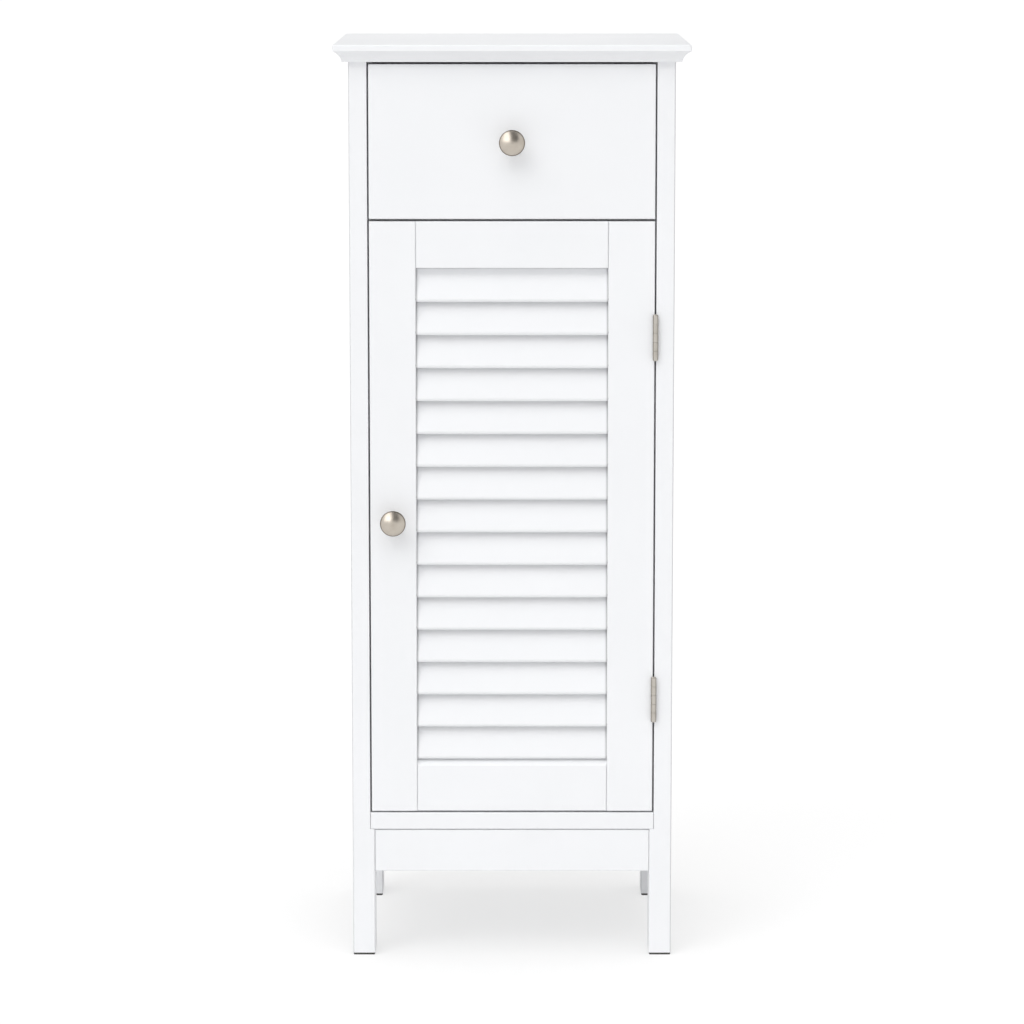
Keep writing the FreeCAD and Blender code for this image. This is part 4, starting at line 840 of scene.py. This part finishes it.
def floor_paper():
    """What the floor shows: white where lit, a soft shadow partly real and partly painted, nothing
    from below.
    """
    material, graph = new_material("studio_floor_paper")
    flecks = graph.noise(graph.object_point(), FLOOR_FLECK_WAVES, detail=3.0)
    tone = graph.mix(graph.span(flecks, *SPREAD),
                     grey(FLOOR_COLOUR), grey(FLOOR_COLOUR * FLOOR_FLECK))
    lit = graph.add("ShaderNodeBsdfDiffuse", {"Color": tone})
    # Painted shade: the glow drops where the cabinet closes in over the floor.
    open_share = graph.add("ShaderNodeAmbientOcclusion", {"Distance": FLOOR_SHADE_REACH})
    glow_level = graph.span(open_share.outputs["AO"], FLOOR_SHADE_FULL, 1.0,
                            FLOOR_GLOW - FLOOR_GLOW_LOST, FLOOR_GLOW)
    glow = graph.add("ShaderNodeEmission", {"Strength": glow_level})
    shown = graph.add("ShaderNodeAddShader", (lit.outputs[0], glow.outputs[0]))
    bounce = graph.add("ShaderNodeBsdfDiffuse", {"Color": grey(FLOOR_BOUNCE)})
    above = graph.mix_shaders(seen_directly(graph), bounce, shown)
    below = graph.add("ShaderNodeBsdfTransparent")
    graph.show(graph.mix_shaders(graph.geometry("Backfacing"), above, below))
    return material


def floor():
    half = FLOOR_HALF_SIZE
    corners = [(-half, -half, 0), (half, -half, 0), (half, half, 0), (-half, half, 0)]
    mesh = bpy.data.meshes.new("studio_floor")
    mesh.from_pydata(corners, [], [(0, 1, 2, 3)])
    mesh.materials.append(floor_paper())
    link(bpy.data.objects.new("studio_floor", mesh))


def sky():
    """White backdrop to the eye, even soft light to the surfaces."""
    world = bpy.data.worlds.new("studio")
    bpy.context.scene.world = world
    graph = Graph(world)
    strength = graph.span(seen_directly(graph), 0.0, 1.0, SKY_DIFFUSE, SKY_SEEN)
    background = graph.add("ShaderNodeBackground", {"Color": grey(1.0), "Strength": strength})
    graph.show(background, "ShaderNodeOutputWorld")


def aim(up, left):
    """Direction from the cabinet, from degrees up and degrees left of the front."""
    up, left = math.radians(up), math.radians(left)
    level = math.cos(up)
    return Vector((-level * math.sin(left), -level * math.cos(left), math.sin(up)))


def lamps():
    for name, up, left, across, share in SOFT_LIGHTS:
        data = bpy.data.lights.new(name, "SUN")
        data.angle = math.radians(across)
        data.energy = math.pi * share
        lamp = link(bpy.data.objects.new(name, data))
        lamp.visible_glossy = False
        lamp.rotation_euler = aim(up, left).to_track_quat("Z", "Y").to_euler()


def reflected_sheet(name, glow, sheet_rows):
    """Curved sheet round the cabinet that only its gloss shows, a painted reflection that lights
    nothing.
    """
    form = bmesh.new()
    rows = []
    for up, left_end, right_end in sheet_rows:
        ends = [aim(up, -right_end), aim(up, -left_end)]
        rows.append([form.verts.new(REFLECTED_CENTRE + end * REFLECTED_DISTANCE) for end in ends])
    for lower, upper in zip(rows, rows[1:]):
        form.faces.new((lower[0], lower[1], upper[1], upper[0]))
    mesh = mesh_of(form, name)
    material, graph = new_material(name)
    graph.show(graph.add("ShaderNodeEmission", {"Strength": glow}))
    mesh.materials.append(material)
    sheet = link(bpy.data.objects.new(name, mesh))
    sheet.visible_camera = False
    sheet.visible_diffuse = False
    sheet.visible_transmission = False
    sheet.visible_shadow = False


def camera():
    data = bpy.data.cameras.new("camera")
    data.lens = CAMERA_LENS
    data.sensor_width = CAMERA_SENSOR
    data.shift_y = CAMERA_SHIFT_Y
    data.clip_start, data.clip_end = CAMERA_CLIP
    eye = link(bpy.data.objects.new("camera", data))
    eye.location = (0.0, FRONT_PLANE_Y - CAMERA_DISTANCE, CAMERA_HEIGHT)
    eye.rotation_euler = (math.pi / 2 - CAMERA_PITCH, 0.0, 0.0)
    bpy.context.scene.camera = eye


bpy.context.scene.view_settings.view_transform = "Standard"
finish_nodes()
for screw_node, screw_body in SCREW_NODES:
    detailed_screws(screw_node, screw_body, NODES["cam_nuts"].data.materials[0])
floor()
sky()
lamps()
for sheet_name, sheet_glow, sheet_form in REFLECTED_SHEETS:
    reflected_sheet(sheet_name, sheet_glow, sheet_form)
camera()
